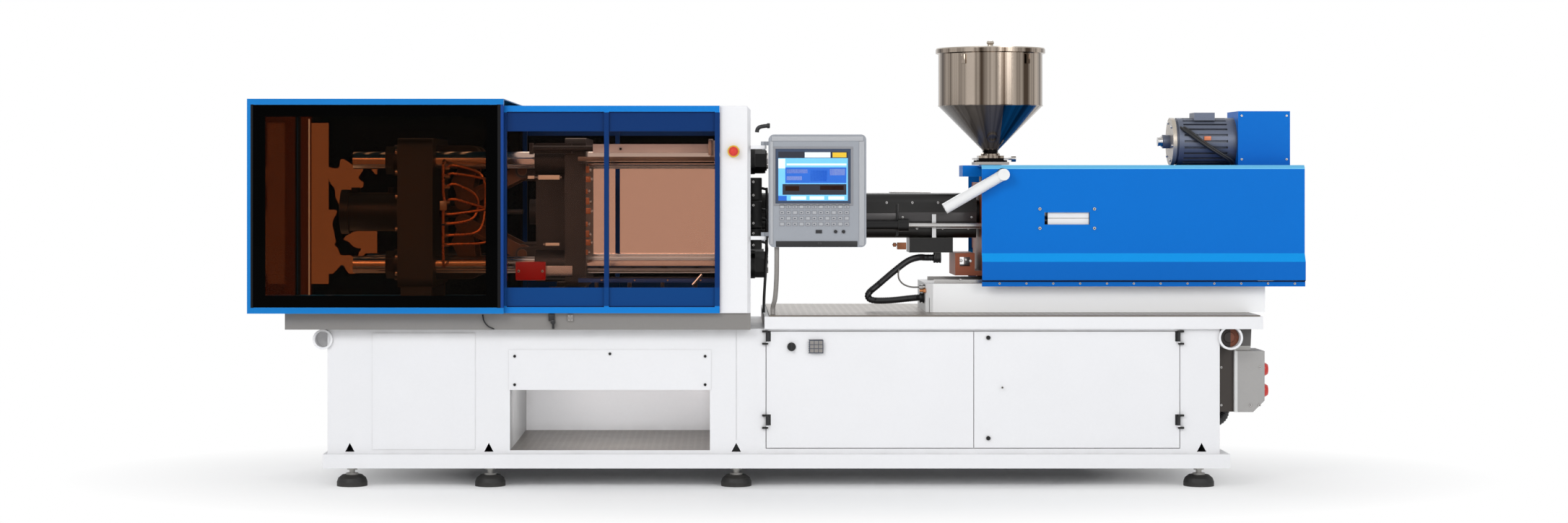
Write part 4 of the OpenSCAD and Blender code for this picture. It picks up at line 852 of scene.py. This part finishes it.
screen_lo, screen_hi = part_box("hmi_screen")
wide = screen_hi.x - screen_lo.x - 2 * SCREEN_MARGIN
tall = screen_hi.z - screen_lo.z - 2 * SCREEN_MARGIN
left, foot = screen_lo.x + SCREEN_MARGIN, screen_lo.z + SCREEN_MARGIN
bm = bmesh.new()
for layer, (x0, z0, x1, z1, colour) in enumerate(FIELDS):
    front = screen_lo.y - 0.0004 - 0.0001 * min(layer, 3)
    add_block(bm, (left + x0 * wide, front, foot + z0 * tall),
              (left + x1 * wide, screen_lo.y, foot + z1 * tall), 0, colour)
new_piece("screen_picture", bm, "control_panel", "screen_glass",
          *[glowing("field_" + name, rgb(*levels)) for name, levels in LEVELS.items()], smooth=0)

# %% [markdown]
# The case has a pale raised frame: a rail along the top, a wider rail on the right and a thin one
# on the left, with a grey lip round the screen and a black strip at the foot. They could be painted
# on, but their edges catch the light, so they lie on the case as thin blocks.

# %% Panel trim
CASE_X0, CASE_X1, CASE_Y = -0.064, 0.343, -0.615
LIP_W, LIP_H = 0.010, 0.009
trim_white = finish("trim_white", rgb(172, 174, 178), drift=0.04, grain_scale=600, bump=0.05)
trim_dark = finish("trim_dark", rgb(70, 74, 86), drift=0.1, grain_scale=600, bump=0.05)
bm = bmesh.new()
for x0, x1, z0, z1 in ((CASE_X0 + 0.012, CASE_X1 - 0.012, 1.458, 1.478),
                       (CASE_X1 - 0.030, CASE_X1 - 0.008, 1.022, 1.457),
                       (CASE_X0 + 0.006, CASE_X0 + 0.018, 1.026, 1.457)):
    add_block(bm, (x0, CASE_Y - 0.0022, z0), (x1, CASE_Y, z1), 0.0015, 0)
x0, x1, z0, z1 = screen_lo.x, screen_hi.x, screen_lo.z, screen_hi.z
for a, b, c, d in ((x0 - LIP_W, x1 + LIP_W, z1, z1 + LIP_H), (x0 - LIP_W, x1 + LIP_W, z0 - LIP_H, z0),
                   (x0 - LIP_W, x0, z0, z1), (x1, x1 + LIP_W, z0, z1)):
    add_block(bm, (a, CASE_Y - 0.0015, c), (b, CASE_Y, d), 0.0008, 1)
add_block(bm, (CASE_X0 + 0.030, CASE_Y - 0.0024, 1.0165), (CASE_X1 - 0.037, CASE_Y, 1.0405), 0.0012, 2)
add_turned(bm, (0.148, CASE_Y - 0.0020, 1.0275), FRONT, [(0, 0.009), (0.002, 0.009), (0.0028, 0.007)], 20, 2)
new_piece("panel_trim", bm, "control_panel", "panel_grey", trim_white, panel_grey, black_plastic)

# %% [markdown]
# Membrane keys are printed pads in rows, most of them with a small dark sign. The signs are bare
# bars, left off by a simple rule, so that the rows don't look stamped.

# %% Key caps
bm = bmesh.new()
for column in range(11):
    for row in range(4):
        x = CASE_X0 + 0.045 + 0.027 * column
        z = 1.103 + 0.024 * row
        add_block(bm, (x + 0.003, CASE_Y - 0.0019, z + 0.003), (x + 0.018, CASE_Y - 0.0015, z + 0.014), 0, 0)
        if (column * 7 + row * 5) % 3:
            add_block(bm, (x + 0.006, CASE_Y - 0.0021, z + 0.006),
                      (x + 0.014, CASE_Y - 0.0019, z + 0.010), 0, 1)
new_piece("key_caps", bm, "control_panel", "panel_grey", trim_white, trim_dark, smooth=0)

# %% [markdown]
# ## Clamp details
# A red interlock block with a bright cam bar rides on the moving platen and is seen through the
# left door pane. Two bevelled blocks and two screws are all that shows of it.

# %% Interlock block
BLOCK_Y = -0.348
deep_red = finish("deep_red", rgb(165, 14, 8), rough=0.35, drift=0.1, bump=0.05, shine=0.3)
bm = bmesh.new()
add_block(bm, (-1.142, BLOCK_Y, 0.866), (-1.013, -0.3255, 0.946), 0.006, 0)
add_block(bm, (-1.120, -0.3252, 0.884), (-0.900, -0.3202, 0.928), 0.001, 1)
for x in (-1.128, -1.027):
    add_screw(bm, (x, BLOCK_Y, 0.906), FRONT, 0.006, 0.004, 1)
new_piece("interlock_block", bm, "clamp", "red_plastic", deep_red, bright, black_steel)

# %% [markdown]
# Behind the front window a pale upright edge stands near the left end, a strip of the frame that
# catches the light: its pale colour is a painted highlight.

# %% Window edge strip
# A painted highlight on the frame's edge
edge_highlight = finish("edge_highlight", rgb(236, 214, 190), drift=0.1, dirt_and_shade=GRIME_AND_SHADE, dirt_and_shade_amount=0.3)
bm = bmesh.new()
add_block(bm, (-1.9860, -0.6070, 0.8150), (-1.9790, -0.6035, 1.5500), 0.001)
new_piece("edge_strip", bm, "bed", "white_paint", edge_highlight)

# %% [markdown]
# The tail platen carries bolt heads, a copper lubrication pipe with a steel distributor, and four
# bent copper pipes. They travel with it when the mould height changes. Each bent pipe leaves one
# nut, bows out and comes back to a lower one, so a loop draws them from a height, a reach and an end.

# %% Tail platen fittings
FACE_X = -1.4495
NUT_Y = -0.312
PIPE_X, PIPE_Y = -1.452, -0.331
copper = finish("copper_pipe", rgb(204, 136, 88), rough=0.26, metal=0.9, drift=0.2, bump=0.05,
                dirt_and_shade=rgb(80, 44, 22), dirt_and_shade_amount=0.5)
bm = bmesh.new()
for z in (0.895, 0.965, 1.085, 1.225, 1.330, 1.415):
    add_turned(bm, (-1.650, -0.305, z), LEFT, [(0, 0.011), (0.010, 0.011), (0.012, 0.009)], 16, 1)
pipe = smooth_path([(PIPE_X, -0.300, 0.925), (PIPE_X, PIPE_Y, 0.945), (PIPE_X, PIPE_Y, 1.16),
                    (-1.446, PIPE_Y, 1.20), (PIPE_X, PIPE_Y, 1.24), (PIPE_X, PIPE_Y, 1.36),
                    (PIPE_X, -0.300, 1.380)], 0.02)
add_tube(bm, pipe, 0.0065, 10)
add_block(bm, (-1.466, -0.345, 1.165), (-1.436, -0.3205, 1.205), 0.003, 1)
for z in (1.00, 1.10, 1.30):
    add_block(bm, (-1.461, -0.339, z), (-1.443, -0.3205, z + 0.008), 0.001, 2)
for high, reach, low in ((1.345, 0.150, 1.060), (1.310, 0.205, 1.020), (1.265, 0.120, 1.110),
                         (1.200, 0.185, 1.150)):
    bow = reach - 1.44
    bent = smooth_path([(FACE_X, NUT_Y, high), (-1.40, -0.322, high + 0.012), (bow, -0.318, high - 0.03),
                        (bow + 0.015, -0.306, (high + low) / 2), (bow - 0.01, -0.314, low + 0.02),
                        (-1.41, -0.320, low), (FACE_X, NUT_Y, low)], 0.014)
    add_tube(bm, bent, 0.0060, 10)
    for z in (high, low):
        add_turned(bm, (FACE_X, NUT_Y, z), RIGHT, [(0, 0.010), (0.020, 0.010), (0.024, 0.007)], 6, 1)
new_piece("tail_fittings", bm, "tail", "bright_steel", copper, bright, black_steel)

# %% [markdown]
# A column of manifold blocks and hose ends stands between the moving platen and the mould space.
# Their widths vary by a simple rule. Three pale plates on the platen's front face are painted
# highlights.

# %% Platen fittings
MANIFOLD_X = -0.8415
PLATEN_SIDE = -0.3205
rust = finish("oiled_fitting", rgb(150, 92, 58), metal=0.4, drift=0.4, cloud_scale=14,
              dirt_and_shade=rgb(60, 32, 18), dirt_and_shade_amount=0.6)
# Pale plates that stand in for highlights on the platen's face
highlight_cream = finish("highlight_plate", rgb(226, 208, 184), drift=0.1, dirt_and_shade=GRIME_AND_SHADE, dirt_and_shade_amount=0.3)
bm = bmesh.new()
for x0, x1, z0, z1 in ((-1.091, -1.064, 1.300, 1.313), (-1.046, -0.955, 1.297, 1.316),
                       (-1.015, -0.956, 1.014, 1.026)):
    add_block(bm, (x0, -0.3255, z0), (x1, PLATEN_SIDE, z1), 0.001, 0)
for x, z in ((-1.050, 1.3065), (-1.060, 1.3065), (-0.949, 1.3065), (-1.021, 1.020)):
    add_screw(bm, (x, PLATEN_SIDE, z), FRONT, 0.004, 0.003, 2)
for i, z in enumerate((0.975, 1.015, 1.050, 1.095, 1.150, 1.190, 1.235, 1.285, 1.325)):
    x1 = MANIFOLD_X + 0.009 + 0.006 * ((i * 5) % 3)
    add_block(bm, (MANIFOLD_X, -0.348, z), (x1, -0.3215, z + 0.022 + 0.004 * (i % 3)), 0.003, 1)
    add_turned(bm, (x1, -0.335, z + 0.012), RIGHT, [(0, 0.0065), (0.007, 0.0065), (0.009, 0.004)], 6, 2)
new_piece("platen_fittings", bm, "clamp", "bright_steel", highlight_cream, rust, bright, black_steel)

# %% [markdown]
# A steel bracket holds the safety beam at its right end, two thin dark strips below it are painted
# shade that the beam casts on the upper tie bar, and a cable tray on short posts and a diagonal stay
# run along the bottom of the doorway.

# %% Doorway fittings
DOORWAY_X1 = -0.292
tray = finish("tray_blue", rgb(24, 60, 120), drift=0.3, cloud_scale=12)
# Dark strips for the shadow that the beam casts on the upper tie bar
beam_shade_strip = finish("beam_shade_strip", rgb(104, 88, 76), metal=0.3, drift=0.2)
bm = bmesh.new()
add_block(bm, (-0.318, -0.3990, 1.400), (-0.296, -0.3905, 1.468), 0.002, 1)
add_block(bm, (-0.6960, -0.3925, 1.4225), (-0.6860, -0.3900, 1.4325), 0.001, 3)
for x0, y0, y1, z0, z1, material in ((-0.870, -0.420, -0.408, 0.8600, 0.8800, 4),
                                     (-0.870, -0.428, -0.416, 0.8805, 0.8830, 3),
                                     (-0.872, -0.406, -0.400, 1.3650, 1.3735, 3),
                                     (-0.872, -0.404, -0.398, 1.3760, 1.3940, 5)):
    add_block(bm, (x0, y0, z0), (DOORWAY_X1, y1, z1), 0.001, material)
for x in (-0.80, -0.66, -0.52, -0.38):
    add_block(bm, (x, -0.424, 0.720), (x + 0.016, -0.408, 0.860), 0.001, 3)
    add_screw(bm, (x + 0.030, -0.420, 0.870), FRONT, 0.004, 0.003, 1)
add_tube(bm, [Vector((-0.385, -0.430, 0.850)), Vector((-0.345, -0.430, 0.895))], 0.006, 10, 0, 1)
new_piece("doorway_fittings", bm, "bed", "black_steel", highlight_cream, bright, rust, black_steel, tray, beam_shade_strip)

# %% [markdown]
# Under the doors the rail carries a roller switch and a junction box on its front face, and one
# short wire goes down to the bed. The switch tells the control that the door is shut.

# %% Rail switches
RAIL_Y = -0.5605
bm = bmesh.new()
add_block(bm, (-0.986, -0.5750, 0.704), (-0.960, RAIL_Y, 0.735), 0.003, 0)
add_turned(bm, (-0.966, -0.5750, 0.700), FRONT, [(0, 0.010), (0.006, 0.010), (0.007, 0.008)], 20, 0)
add_block(bm, (-0.971, -0.5690, 0.672), (-0.962, -0.5610, 0.704), 0.001, 0)
add_block(bm, (-0.907, -0.5660, 0.703), (-0.882, RAIL_Y, 0.733), 0.002, 2)
for x in (-0.901, -0.888):
    for z in (0.709, 0.727):
        add_screw(bm, (x, -0.5660, z), FRONT, 0.003, 0.002, 1)
wire = smooth_path([(-1.262, -0.5620, 0.731), (-1.257, -0.5680, 0.706), (-1.240, -0.5690, 0.684),
                    (-1.214, -0.5640, 0.671)], 0.008)
add_tube(bm, wire, 0.0028, 8)
new_piece("rail_switches", bm, "bed", "black_plastic", black_plastic, bright, cable_grey)

# %% [markdown]
# ## Barrel and shroud
# Cap screws hold the shroud's sheets, and two grey bands run along its front. A painted band would
# look flat from the side, so they are strips that stand 1.5 and 3.5 millimetres proud.

# %% Shroud trim
SHROUD_Y = 0.105
band_grey = finish("band_grey", rgb(74, 72, 72), rough=0.3, metal=0.5, drift=0.2, grain_scale=300, bump=0.1)
bm = bmesh.new()
for i in range(9):
    x = -0.10 + 0.112 * i
    for place, axis in (((x, -SHROUD_Y, 1.196), FRONT), ((x + 0.02, -SHROUD_Y, 1.084), FRONT),
                        ((x, SHROUD_Y, 1.196), BACK)):
        add_screw(bm, place, axis, 0.0055, 0.003, 0)
add_block(bm, (-0.127, -0.1065, 1.118), (0.500, -SHROUD_Y, 1.150), 0.0006, 2)
add_block(bm, (0.512, -0.1085, 1.112), (0.850, -SHROUD_Y, 1.154), 0.0012, 2)
for x in (0.530, 0.830):
    add_screw(bm, (x, -0.1085, 1.133), FRONT, 0.005, 0.003, 0)
new_piece("shroud_trim", bm, "injection_unit", "black_steel", bright, black_steel, band_grey)

# %% [markdown]
# The conduit leaves the shroud through a ribbed gland. Its ribs are too deep for a bump, so it is
# turned from a profile of ribs and grooves.

# %% Conduit gland
bm = bmesh.new()
add_turned(bm, (0.700, -0.060, 0.955), LEFT,
           [(0, 0.0235), (0.006, 0.0235), (0.007, 0.021), (0.012, 0.021), (0.013, 0.0235), (0.019, 0.0235),
            (0.020, 0.021), (0.026, 0.021), (0.027, 0.0235), (0.032, 0.0225)], 28)
new_piece("conduit_gland", bm, "injection_unit", "black_plastic", black_plastic)

# %% [markdown]
# The conduit enters the base through a ribbed nut, turned like the gland. Beside it two hose tails
# and a small clamp for the sensor lead come out of the base's end.

# %% Base fittings
BASE_X = 0.6199
bm = bmesh.new()
add_turned(bm, (BASE_X, -0.150, 0.784), LEFT, [(0, 0.024), (0.006, 0.024), (0.007, 0.020), (0.014, 0.020),
           (0.015, 0.023), (0.020, 0.022)], 24)
for y, z, material in ((-0.205, 0.832, 1), (-0.232, 0.818, 2)):
    tail = [(0, 0.011), (0.010, 0.011), (0.011, 0.007), (0.026, 0.007)]
    add_turned(bm, (BASE_X, y, z), LEFT, tail, 6, material)
add_block(bm, (0.6080, -0.190, 0.823), (0.6198, -0.155, 0.841), 0.002, 1)
new_piece("base_fittings", bm, "bed", "black_plastic", black_plastic, bright, copper)

# %% [markdown]
# A white scale plate stands beside the shroud, with two thin rods that run back to the cover. They
# show the screw's place to the setter. Two small blocks carry the plate on the shroud.

# %% Stroke scale
SCALE_Y = -0.1220
bm = bmesh.new()
add_block(bm, (0.6560, -0.1260, 1.044), (0.6740, SCALE_Y, 1.146), 0.0015, 0)
for z in (1.085, 1.106):
    add_turned(bm, (0.664, SCALE_Y - 0.0005, z), RIGHT, [(0, 0.003), (0.2055, 0.003)], 10, 1)
for z in (1.070, 1.121):
    add_block(bm, (0.6590, -0.1222, z - 0.006), (0.6710, -0.1050, z + 0.006), 0.001, 1)
new_piece("stroke_scale", bm, "injection_unit", "white_plastic", white_plastic, bright)

# %% [markdown]
# A bright plate covers the shroud's joint on top, a collar splits the shroud, and hose nuts and a
# small valve hang below. Four caps of different sizes sit on the orange bracket.

# %% Unit fittings
bm = bmesh.new()
add_block(bm, (0.480, -0.060, 1.2382), (0.655, 0.060, 1.2432), 0.001, 0)
add_block(bm, (0.500, -0.1092, 1.052), (0.511, -0.1052, 1.190), 0.001, 1)
for x in (0.495, 0.525):
    add_turned(bm, (x, -0.088, 1.012), FRONT, [(0, 0.010), (0.010, 0.010), (0.013, 0.007)], 6, 2)
add_block(bm, (0.505, -0.1100, 0.992), (0.545, -0.0900, 1.022), 0.002, 2)
for x, z, r in ((0.766, 0.950, 0.008), (0.786, 0.954, 0.006), (0.806, 0.948, 0.007), (0.764, 0.868, 0.006)):
    add_turned(bm, (x, -0.3052, z), FRONT, [(0, r), (0.006, r), (0.008, r * 0.7)], 6, 0)
new_piece("unit_fittings", bm, "injection_unit", "bright_steel", bright, black_steel, rust)

# %% [markdown]
# ## Cover fittings
# Four cap screws sit round the sight slot, a row of small screws in the dark joint under the cover,
# and more on the belt housing, on both sides alike. A white scale with one grey line stands behind
# the sight slot.

# %% Cover screws
bm = bmesh.new()
slot_screws = [(x, 0.310, z, 0.007, 0.004) for x in (1.104, 1.338) for z in (1.088, 1.171)]
joint_screws = [(0.93 + 0.115 * i, 0.320, 0.852, 0.005, 0.003) for i in range(12)]
tower_screws = [(x, 0.125, z, 0.005, 0.003) for x in (2.006, 2.202) for z in (1.385, 1.575)]
for x, y, z, r, h in slot_screws + joint_screws + tower_screws:
    for side in (-1, 1):
        add_screw(bm, (x, side * y, z), (0, side, 0), r, h, 0)
add_block(bm, (1.139, -0.3005, 1.096), (1.316, -0.2965, 1.168), 0.001, 2)
add_block(bm, (1.139, -0.3010, 1.1300), (1.316, -0.3005, 1.1325), 0, 3)
new_piece("cover_screws", bm, "injection_unit", "bright_steel", bright, black_steel, white_plastic,
          cable_grey)

# %% [markdown]
# ## Drive motor fittings
# Two cables leave the terminal box and drop behind the motor's end bell, bolts hold the bell, and a
# small plain plate sits on the finned body. The cables run side by side, a shift apart.

# %% Motor fittings
MOTOR_Z = 1.464
motor_plate = finish("motor_plate", rgb(206, 122, 84), metal=0.4, drift=0.2)
motor_flange = finish("motor_flange", rgb(196, 186, 172), rough=0.34, metal=0.6, drift=0.15,
                      dirt_and_shade=rgb(60, 54, 48), dirt_and_shade_amount=0.6)
bm = bmesh.new()
for shift, y in ((0.0, -0.120), (0.016, -0.112)):
    path = smooth_path([(1.735 + shift, -0.040, MOTOR_Z + 0.070), (1.760 + shift, -0.098, MOTOR_Z + 0.050),
                        (1.830 + shift, y, MOTOR_Z - 0.005), (1.905 + shift, y, MOTOR_Z - 0.055),
                        (1.955 + shift, -0.100, MOTOR_Z - 0.085),
                        (1.970 + shift / 2, -0.085, MOTOR_Z - 0.1045)], 0.008)
    add_tube(bm, path, 0.0065, 10)
for i in range(6):
    a = math.pi / 3 * i + 0.3
    add_screw(bm, (1.713, 0.086 * math.sin(a), MOTOR_Z + 0.086 * math.cos(a)), LEFT, 0.006, 0.006, 1)
add_block(bm, (1.846, -0.1085, MOTOR_Z + 0.004), (1.876, -0.1025, MOTOR_Z + 0.022), 0.001, 3)
add_turned(bm, (1.6805, 0, MOTOR_Z), LEFT, [(0, 0.0225), (0.008, 0.0225), (0.009, 0.019), (0.016, 0.019),
           (0.017, 0.021), (0.021, 0.020)], 24, 1)
add_turned(bm, (1.7125, 0, MOTOR_Z), RIGHT, [(0, 0.1045), (0.016, 0.1045), (0.018, 0.103)], 40, 4)
new_piece("motor_fittings", bm, "injection_unit", "motor_grey", black_plastic, bright, black_steel,
          motor_plate, motor_flange)

# %% [markdown]
# ## Hopper fittings
# The drum has a welded seam round its foot and four small catches on the rim, at uneven angles, and
# bolts go through the foot flange. The seam is a thin tube bent round the drum.

# %% Hopper fittings
CATCH_R, SEAM_R, SEAM_Z = 0.2335, 0.2284, 1.621
bm = bmesh.new()
for dx in (-0.060, 0.060):
    for dy in (-0.060, 0.060):
        add_screw(bm, (HOPPER_X + dx, dy, 1.374), UP, 0.008, 0.008, 0)
for a in (-2.2, -0.9, 0.7, 2.4):
    x, y = HOPPER_X + CATCH_R * math.cos(a), CATCH_R * math.sin(a)
    add_block(bm, (x - 0.008, y - 0.008, 1.800), (x + 0.008, y + 0.008, 1.842), 0.002, 0)
turns = [2 * math.pi * i / 64 for i in range(65)]
seam = [Vector((HOPPER_X + SEAM_R * math.cos(a), SEAM_R * math.sin(a), SEAM_Z)) for a in turns]
add_tube(bm, seam, 0.0022, 8)
new_piece("hopper_fittings", bm, "injection_unit", "polished_steel", hopper_metal, black_steel)

# %% [markdown]
# ## Tie bar ends
# Cap screws and a retaining ring lock each nut on its bar. The four ends are alike, so two loops
# place them at the tie bars' centres.

# %% Tie bar ends
SCREW_CIRCLE = 0.0415
bm = bmesh.new()
for y in (-0.225, 0.225):
    for z in (0.930, 1.380):
        add_turned(bm, (-0.072, y, z), RIGHT, [(0, 0.045), (0.003, 0.046), (0.006, 0.045)], 28, 1)
        for i in range(4):
            a = math.pi / 2 * i + math.pi / 4
            add_screw(bm, (-0.066, y + SCREW_CIRCLE * math.sin(a), z + SCREW_CIRCLE * math.cos(a)), RIGHT,
                      0.0035, 0.003, 0)
new_piece("tie_bar_ends", bm, "bed", "black_steel", bright, black_steel)

# %% [markdown]
# Lubrication blocks and short hoses fill the dark gap between the end pillar and the control
# panel. Each hose is the same curve from its own height, a little beside the last.

# %% Lubrication manifold
BLOCK_X0, BLOCK_X1, BLOCK_Y = -0.1385, -0.088, -0.305
bm = bmesh.new()
for z0, z1 in ((0.998, 1.085), (1.092, 1.205), (1.212, 1.305)):
    add_block(bm, (BLOCK_X0, BLOCK_Y, z0), (BLOCK_X1, -0.250, z1), 0.004, 0)
    for z in (z0 + 0.018, z1 - 0.018):
        add_screw(bm, (-0.125, BLOCK_Y, z), FRONT, 0.0055, 0.004, 1)
for z in (1.03, 1.13, 1.17, 1.26):
    path = smooth_path([(BLOCK_X1, -0.278, z), (-0.072, -0.280, z - 0.004), (-0.066, -0.285, z - 0.03),
                        (-0.070, -0.290, 0.94), (-0.078, -0.292, 0.80), (-0.080, -0.292, 0.7265)], 0.012)
    beside = Vector((0, (z - 1.13) * 0.10, 0))
    add_tube(bm, [p + beside for p in path], 0.006, 10, 0, 2)
new_piece("lubrication_manifold", bm, "bed", "black_steel", black_steel, bright, black_plastic)

# %% [markdown]
# ## Cabinet and right end
# The left cabinet door carries a dark plate with nine small pale fields, and the right one a key
# plug. Each rides on its own door, so that it turns with it.

# %% Cabinet fittings
bm = bmesh.new()
add_block(bm, (0.108, -0.5180, 0.566), (0.168, -0.5170, 0.622), 0.0004, 0)
for i in range(3):
    for k in range(3):
        x, z = 0.112 + 0.0183 * i, 0.570 + 0.0172 * k
        add_block(bm, (x, -0.5184, z), (x + 0.0155, -0.5179, z + 0.0140), 0, 1)
new_piece("grid_plate", bm, "left_cabinet_door", "grey_paint", trim_dark, cable_grey, smooth=0)
bm = bmesh.new()
add_screw(bm, (0.921, -0.5170, 0.422), FRONT, 0.005, 0.002)
new_piece("key_plug", bm, "right_cabinet_door", "grey_paint", cable_grey, black_steel)

# %% [markdown]
# Screws hold the front of the inlet's box. Their places come from the box's own corners.

# %% Inlet screws
lo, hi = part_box("power_inlet")
bm = bmesh.new()
for x in (hi.x - 0.060, hi.x - 0.022):
    add_screw(bm, (x, lo.y, lo.z + 0.030), FRONT, 0.006, 0.004)
for x, z in ((lo.x + 0.02, lo.z + 0.03), (lo.x + 0.02, lo.z + 0.19), (hi.x - 0.02, lo.z + 0.19)):
    add_screw(bm, (x, lo.y, z), FRONT, 0.005, 0.003)
new_piece("inlet_screws", bm, "bed", "grey_paint", bright, black_steel)

# %% [markdown]
# The lifting ring at the bed's right end is dark inside: a turned cup in painted shade lies in it,
# brown in its right half, on the far side of the bed too.

# %% Ring insides
RING_X = 1.884
# Painted shade inside the ring, brown in its right half
ring_shade = finish("ring_shade", rgb(40, 30, 26), rough=0.5, drift=0.4, cloud_scale=20,
                   dirt_and_shade=rgb(20, 16, 14), dirt_and_shade_amount=0.6)
paint_region(ring_shade, times(region(ring_shade, X=(RING_X + 0.005, FAR)), 0.7), rgb(128, 64, 34))
bm = bmesh.new()
for side in (-1, 1):
    add_turned(bm, (RING_X, side * 0.460, 0.631), (0, side, 0), [(0, 0.0414), (0.012, 0.0414),
               (0.014, 0.040), (0.015, 0.024), (0.019, 0.022)], 32)
new_piece("ring_inside", bm, "bed", "black_steel", ring_shade)

# %% [markdown]
# A black pipe elbow leads the panel's wires from the pillar's top arm over the panel, with a
# collar at its end.

# %% Panel elbow
bm = bmesh.new()
elbow = smooth_path([(-0.1125, -0.5600, 1.4950), (-0.1100, -0.5600, 1.5080), (-0.0980, -0.5620, 1.5180),
                     (-0.0660, -0.5650, 1.5230)], 0.006)
add_tube(bm, elbow, 0.0085, 14)
add_turned(bm, (-0.0700, -0.5648, 1.5225), RIGHT, [(0, 0.011), (0.010, 0.011), (0.012, 0.009)], 16)
new_piece("panel_elbow", bm, "bed", "black_plastic", black_plastic)

# %% [markdown]
# ## Studio
# Seen rays are the camera's, and those that mirrors and glass pass on. They find plain white, so
# that metal and panes show the same background. The object itself is lit by a softer grey.

# %% Seen rays
def seen_rays(tree, mirrored):
    """1 for camera and glass rays, and mirrored for mirror rays."""
    rays = tree.nodes.new("ShaderNodeLightPath").outputs
    straight = math_node("ADD", rays["Is Camera Ray"], rays["Is Transmission Ray"], clamp=True)
    return math_node("ADD", straight, times(rays["Is Glossy Ray"], mirrored), clamp=True)

def mix_shaders(tree, factor, a, b, target):
    mixed = tree.nodes.new("ShaderNodeMixShader")
    for socket, value in zip(mixed.inputs, (factor, a, b)):
        feed(socket, value)
    feed(target, mixed.outputs[0])

# %% [markdown]
# The floor is pale and keeps the object's shadow. An endless white plane would show a grey edge at
# the horizon, so away from the object it turns to glowing white, over an oval that suits the
# machine's long shape.

# %% Floor
floor_material = new_material("floor", Roughness=0.9, Specular_IOR_Level=0.1)
tree = floor_material.node_tree
tone = mix_colour(tree, use_group(tree, cloud, Scale=0.5, Fine=4.0), rgb(250, 250, 250), rgb(254, 254, 254))
feed(shader_inputs(floor_material)["Base Color"], tone)
along = share(axis_value(floor_material, "X"), 3.4)
across = share(axis_value(floor_material, "Y"), 1.9)
oval = math_node("ADD", along, across)
far = math_node("SUBTRACT", math_node("SQRT", oval), 0.4)
far = math_node("MULTIPLY", far, 1.9, clamp=True)
glow = tree.nodes.new("ShaderNodeEmission")
glow.inputs["Color"].default_value = (1, 1, 1, 1)
mix_shaders(tree, times(far, seen_rays(tree, 1.0)), tree.nodes["Principled BSDF"].outputs[0],
            glow.outputs[0], tree.nodes["Material Output"].inputs["Surface"])
bm = bmesh.new()
bmesh.ops.create_grid(bm, x_segments=1, y_segments=1, size=40)
floor = new_piece("floor", bm, None, None, floor_material, smooth=0)

# %% [markdown]
# The sky is a soft grey for light and white for seen rays. A picture of a studio could stand in for
# it, but plain values are enough for an even light.

# %% Sky
world = bpy.data.worlds.new("studio")
bpy.context.scene.world = world
world.use_nodes = True
tree = world.node_tree
tree.nodes.clear()
sky = tree.nodes.new("ShaderNodeBackground")
sky.inputs["Color"].default_value = (0.97, 0.985, 1.0, 1)
sky.inputs["Strength"].default_value = 0.5
white = tree.nodes.new("ShaderNodeBackground")
white.inputs["Color"].default_value = (1, 1, 1, 1)
result = tree.nodes.new("ShaderNodeOutputWorld")
mix_shaders(tree, seen_rays(tree, 0.7), sky.outputs[0], white.outputs[0], result.inputs[0])
print("sky strength", sky.inputs["Strength"].default_value)

# %% [markdown]
# Two large lamps in front and one behind give the even light of a studio. A low one, and a small
# one in the mouth of the part chute, reach into the chute. Neither shows in mirrors or glass.

# %% Lamps
def lamp(name, place, target, size, power, hidden=False):
    data = bpy.data.lights.new(name, "AREA")
    data.shape = "RECTANGLE"
    data.size, data.size_y = size
    data.energy = power
    obj = bpy.data.objects.new(name, data)
    obj.location = place
    obj.rotation_euler = (Vector(target) - Vector(place)).to_track_quat("-Z", "Y").to_euler()
    bpy.context.scene.collection.objects.link(obj)
    if hidden:
        obj.visible_camera = False
        obj.visible_glossy = False
        obj.visible_transmission = False

lamp("key", (-4.0, -7.0, 5.0), (0, 0, 1.0), (4, 3), 230)
lamp("fill", (4.5, -7.0, 3.5), (0, 0, 0.9), (4, 3), 138)
lamp("low", (-0.4, -6.0, 0.9), (-0.4, 0, 0.5), (5, 0.8), 22, hidden=True)
lamp("chute", (-0.73, -0.455, 0.398), (-0.73, 0.40, 0.30), (0.44, 0.03), 3.2, hidden=True)
lamp("back", (0, 6.0, 5.0), (0, 0, 1.0), (5, 3), 150)
bpy.context.scene.view_settings.view_transform = "Standard"
print("lamps", len(bpy.data.lights))
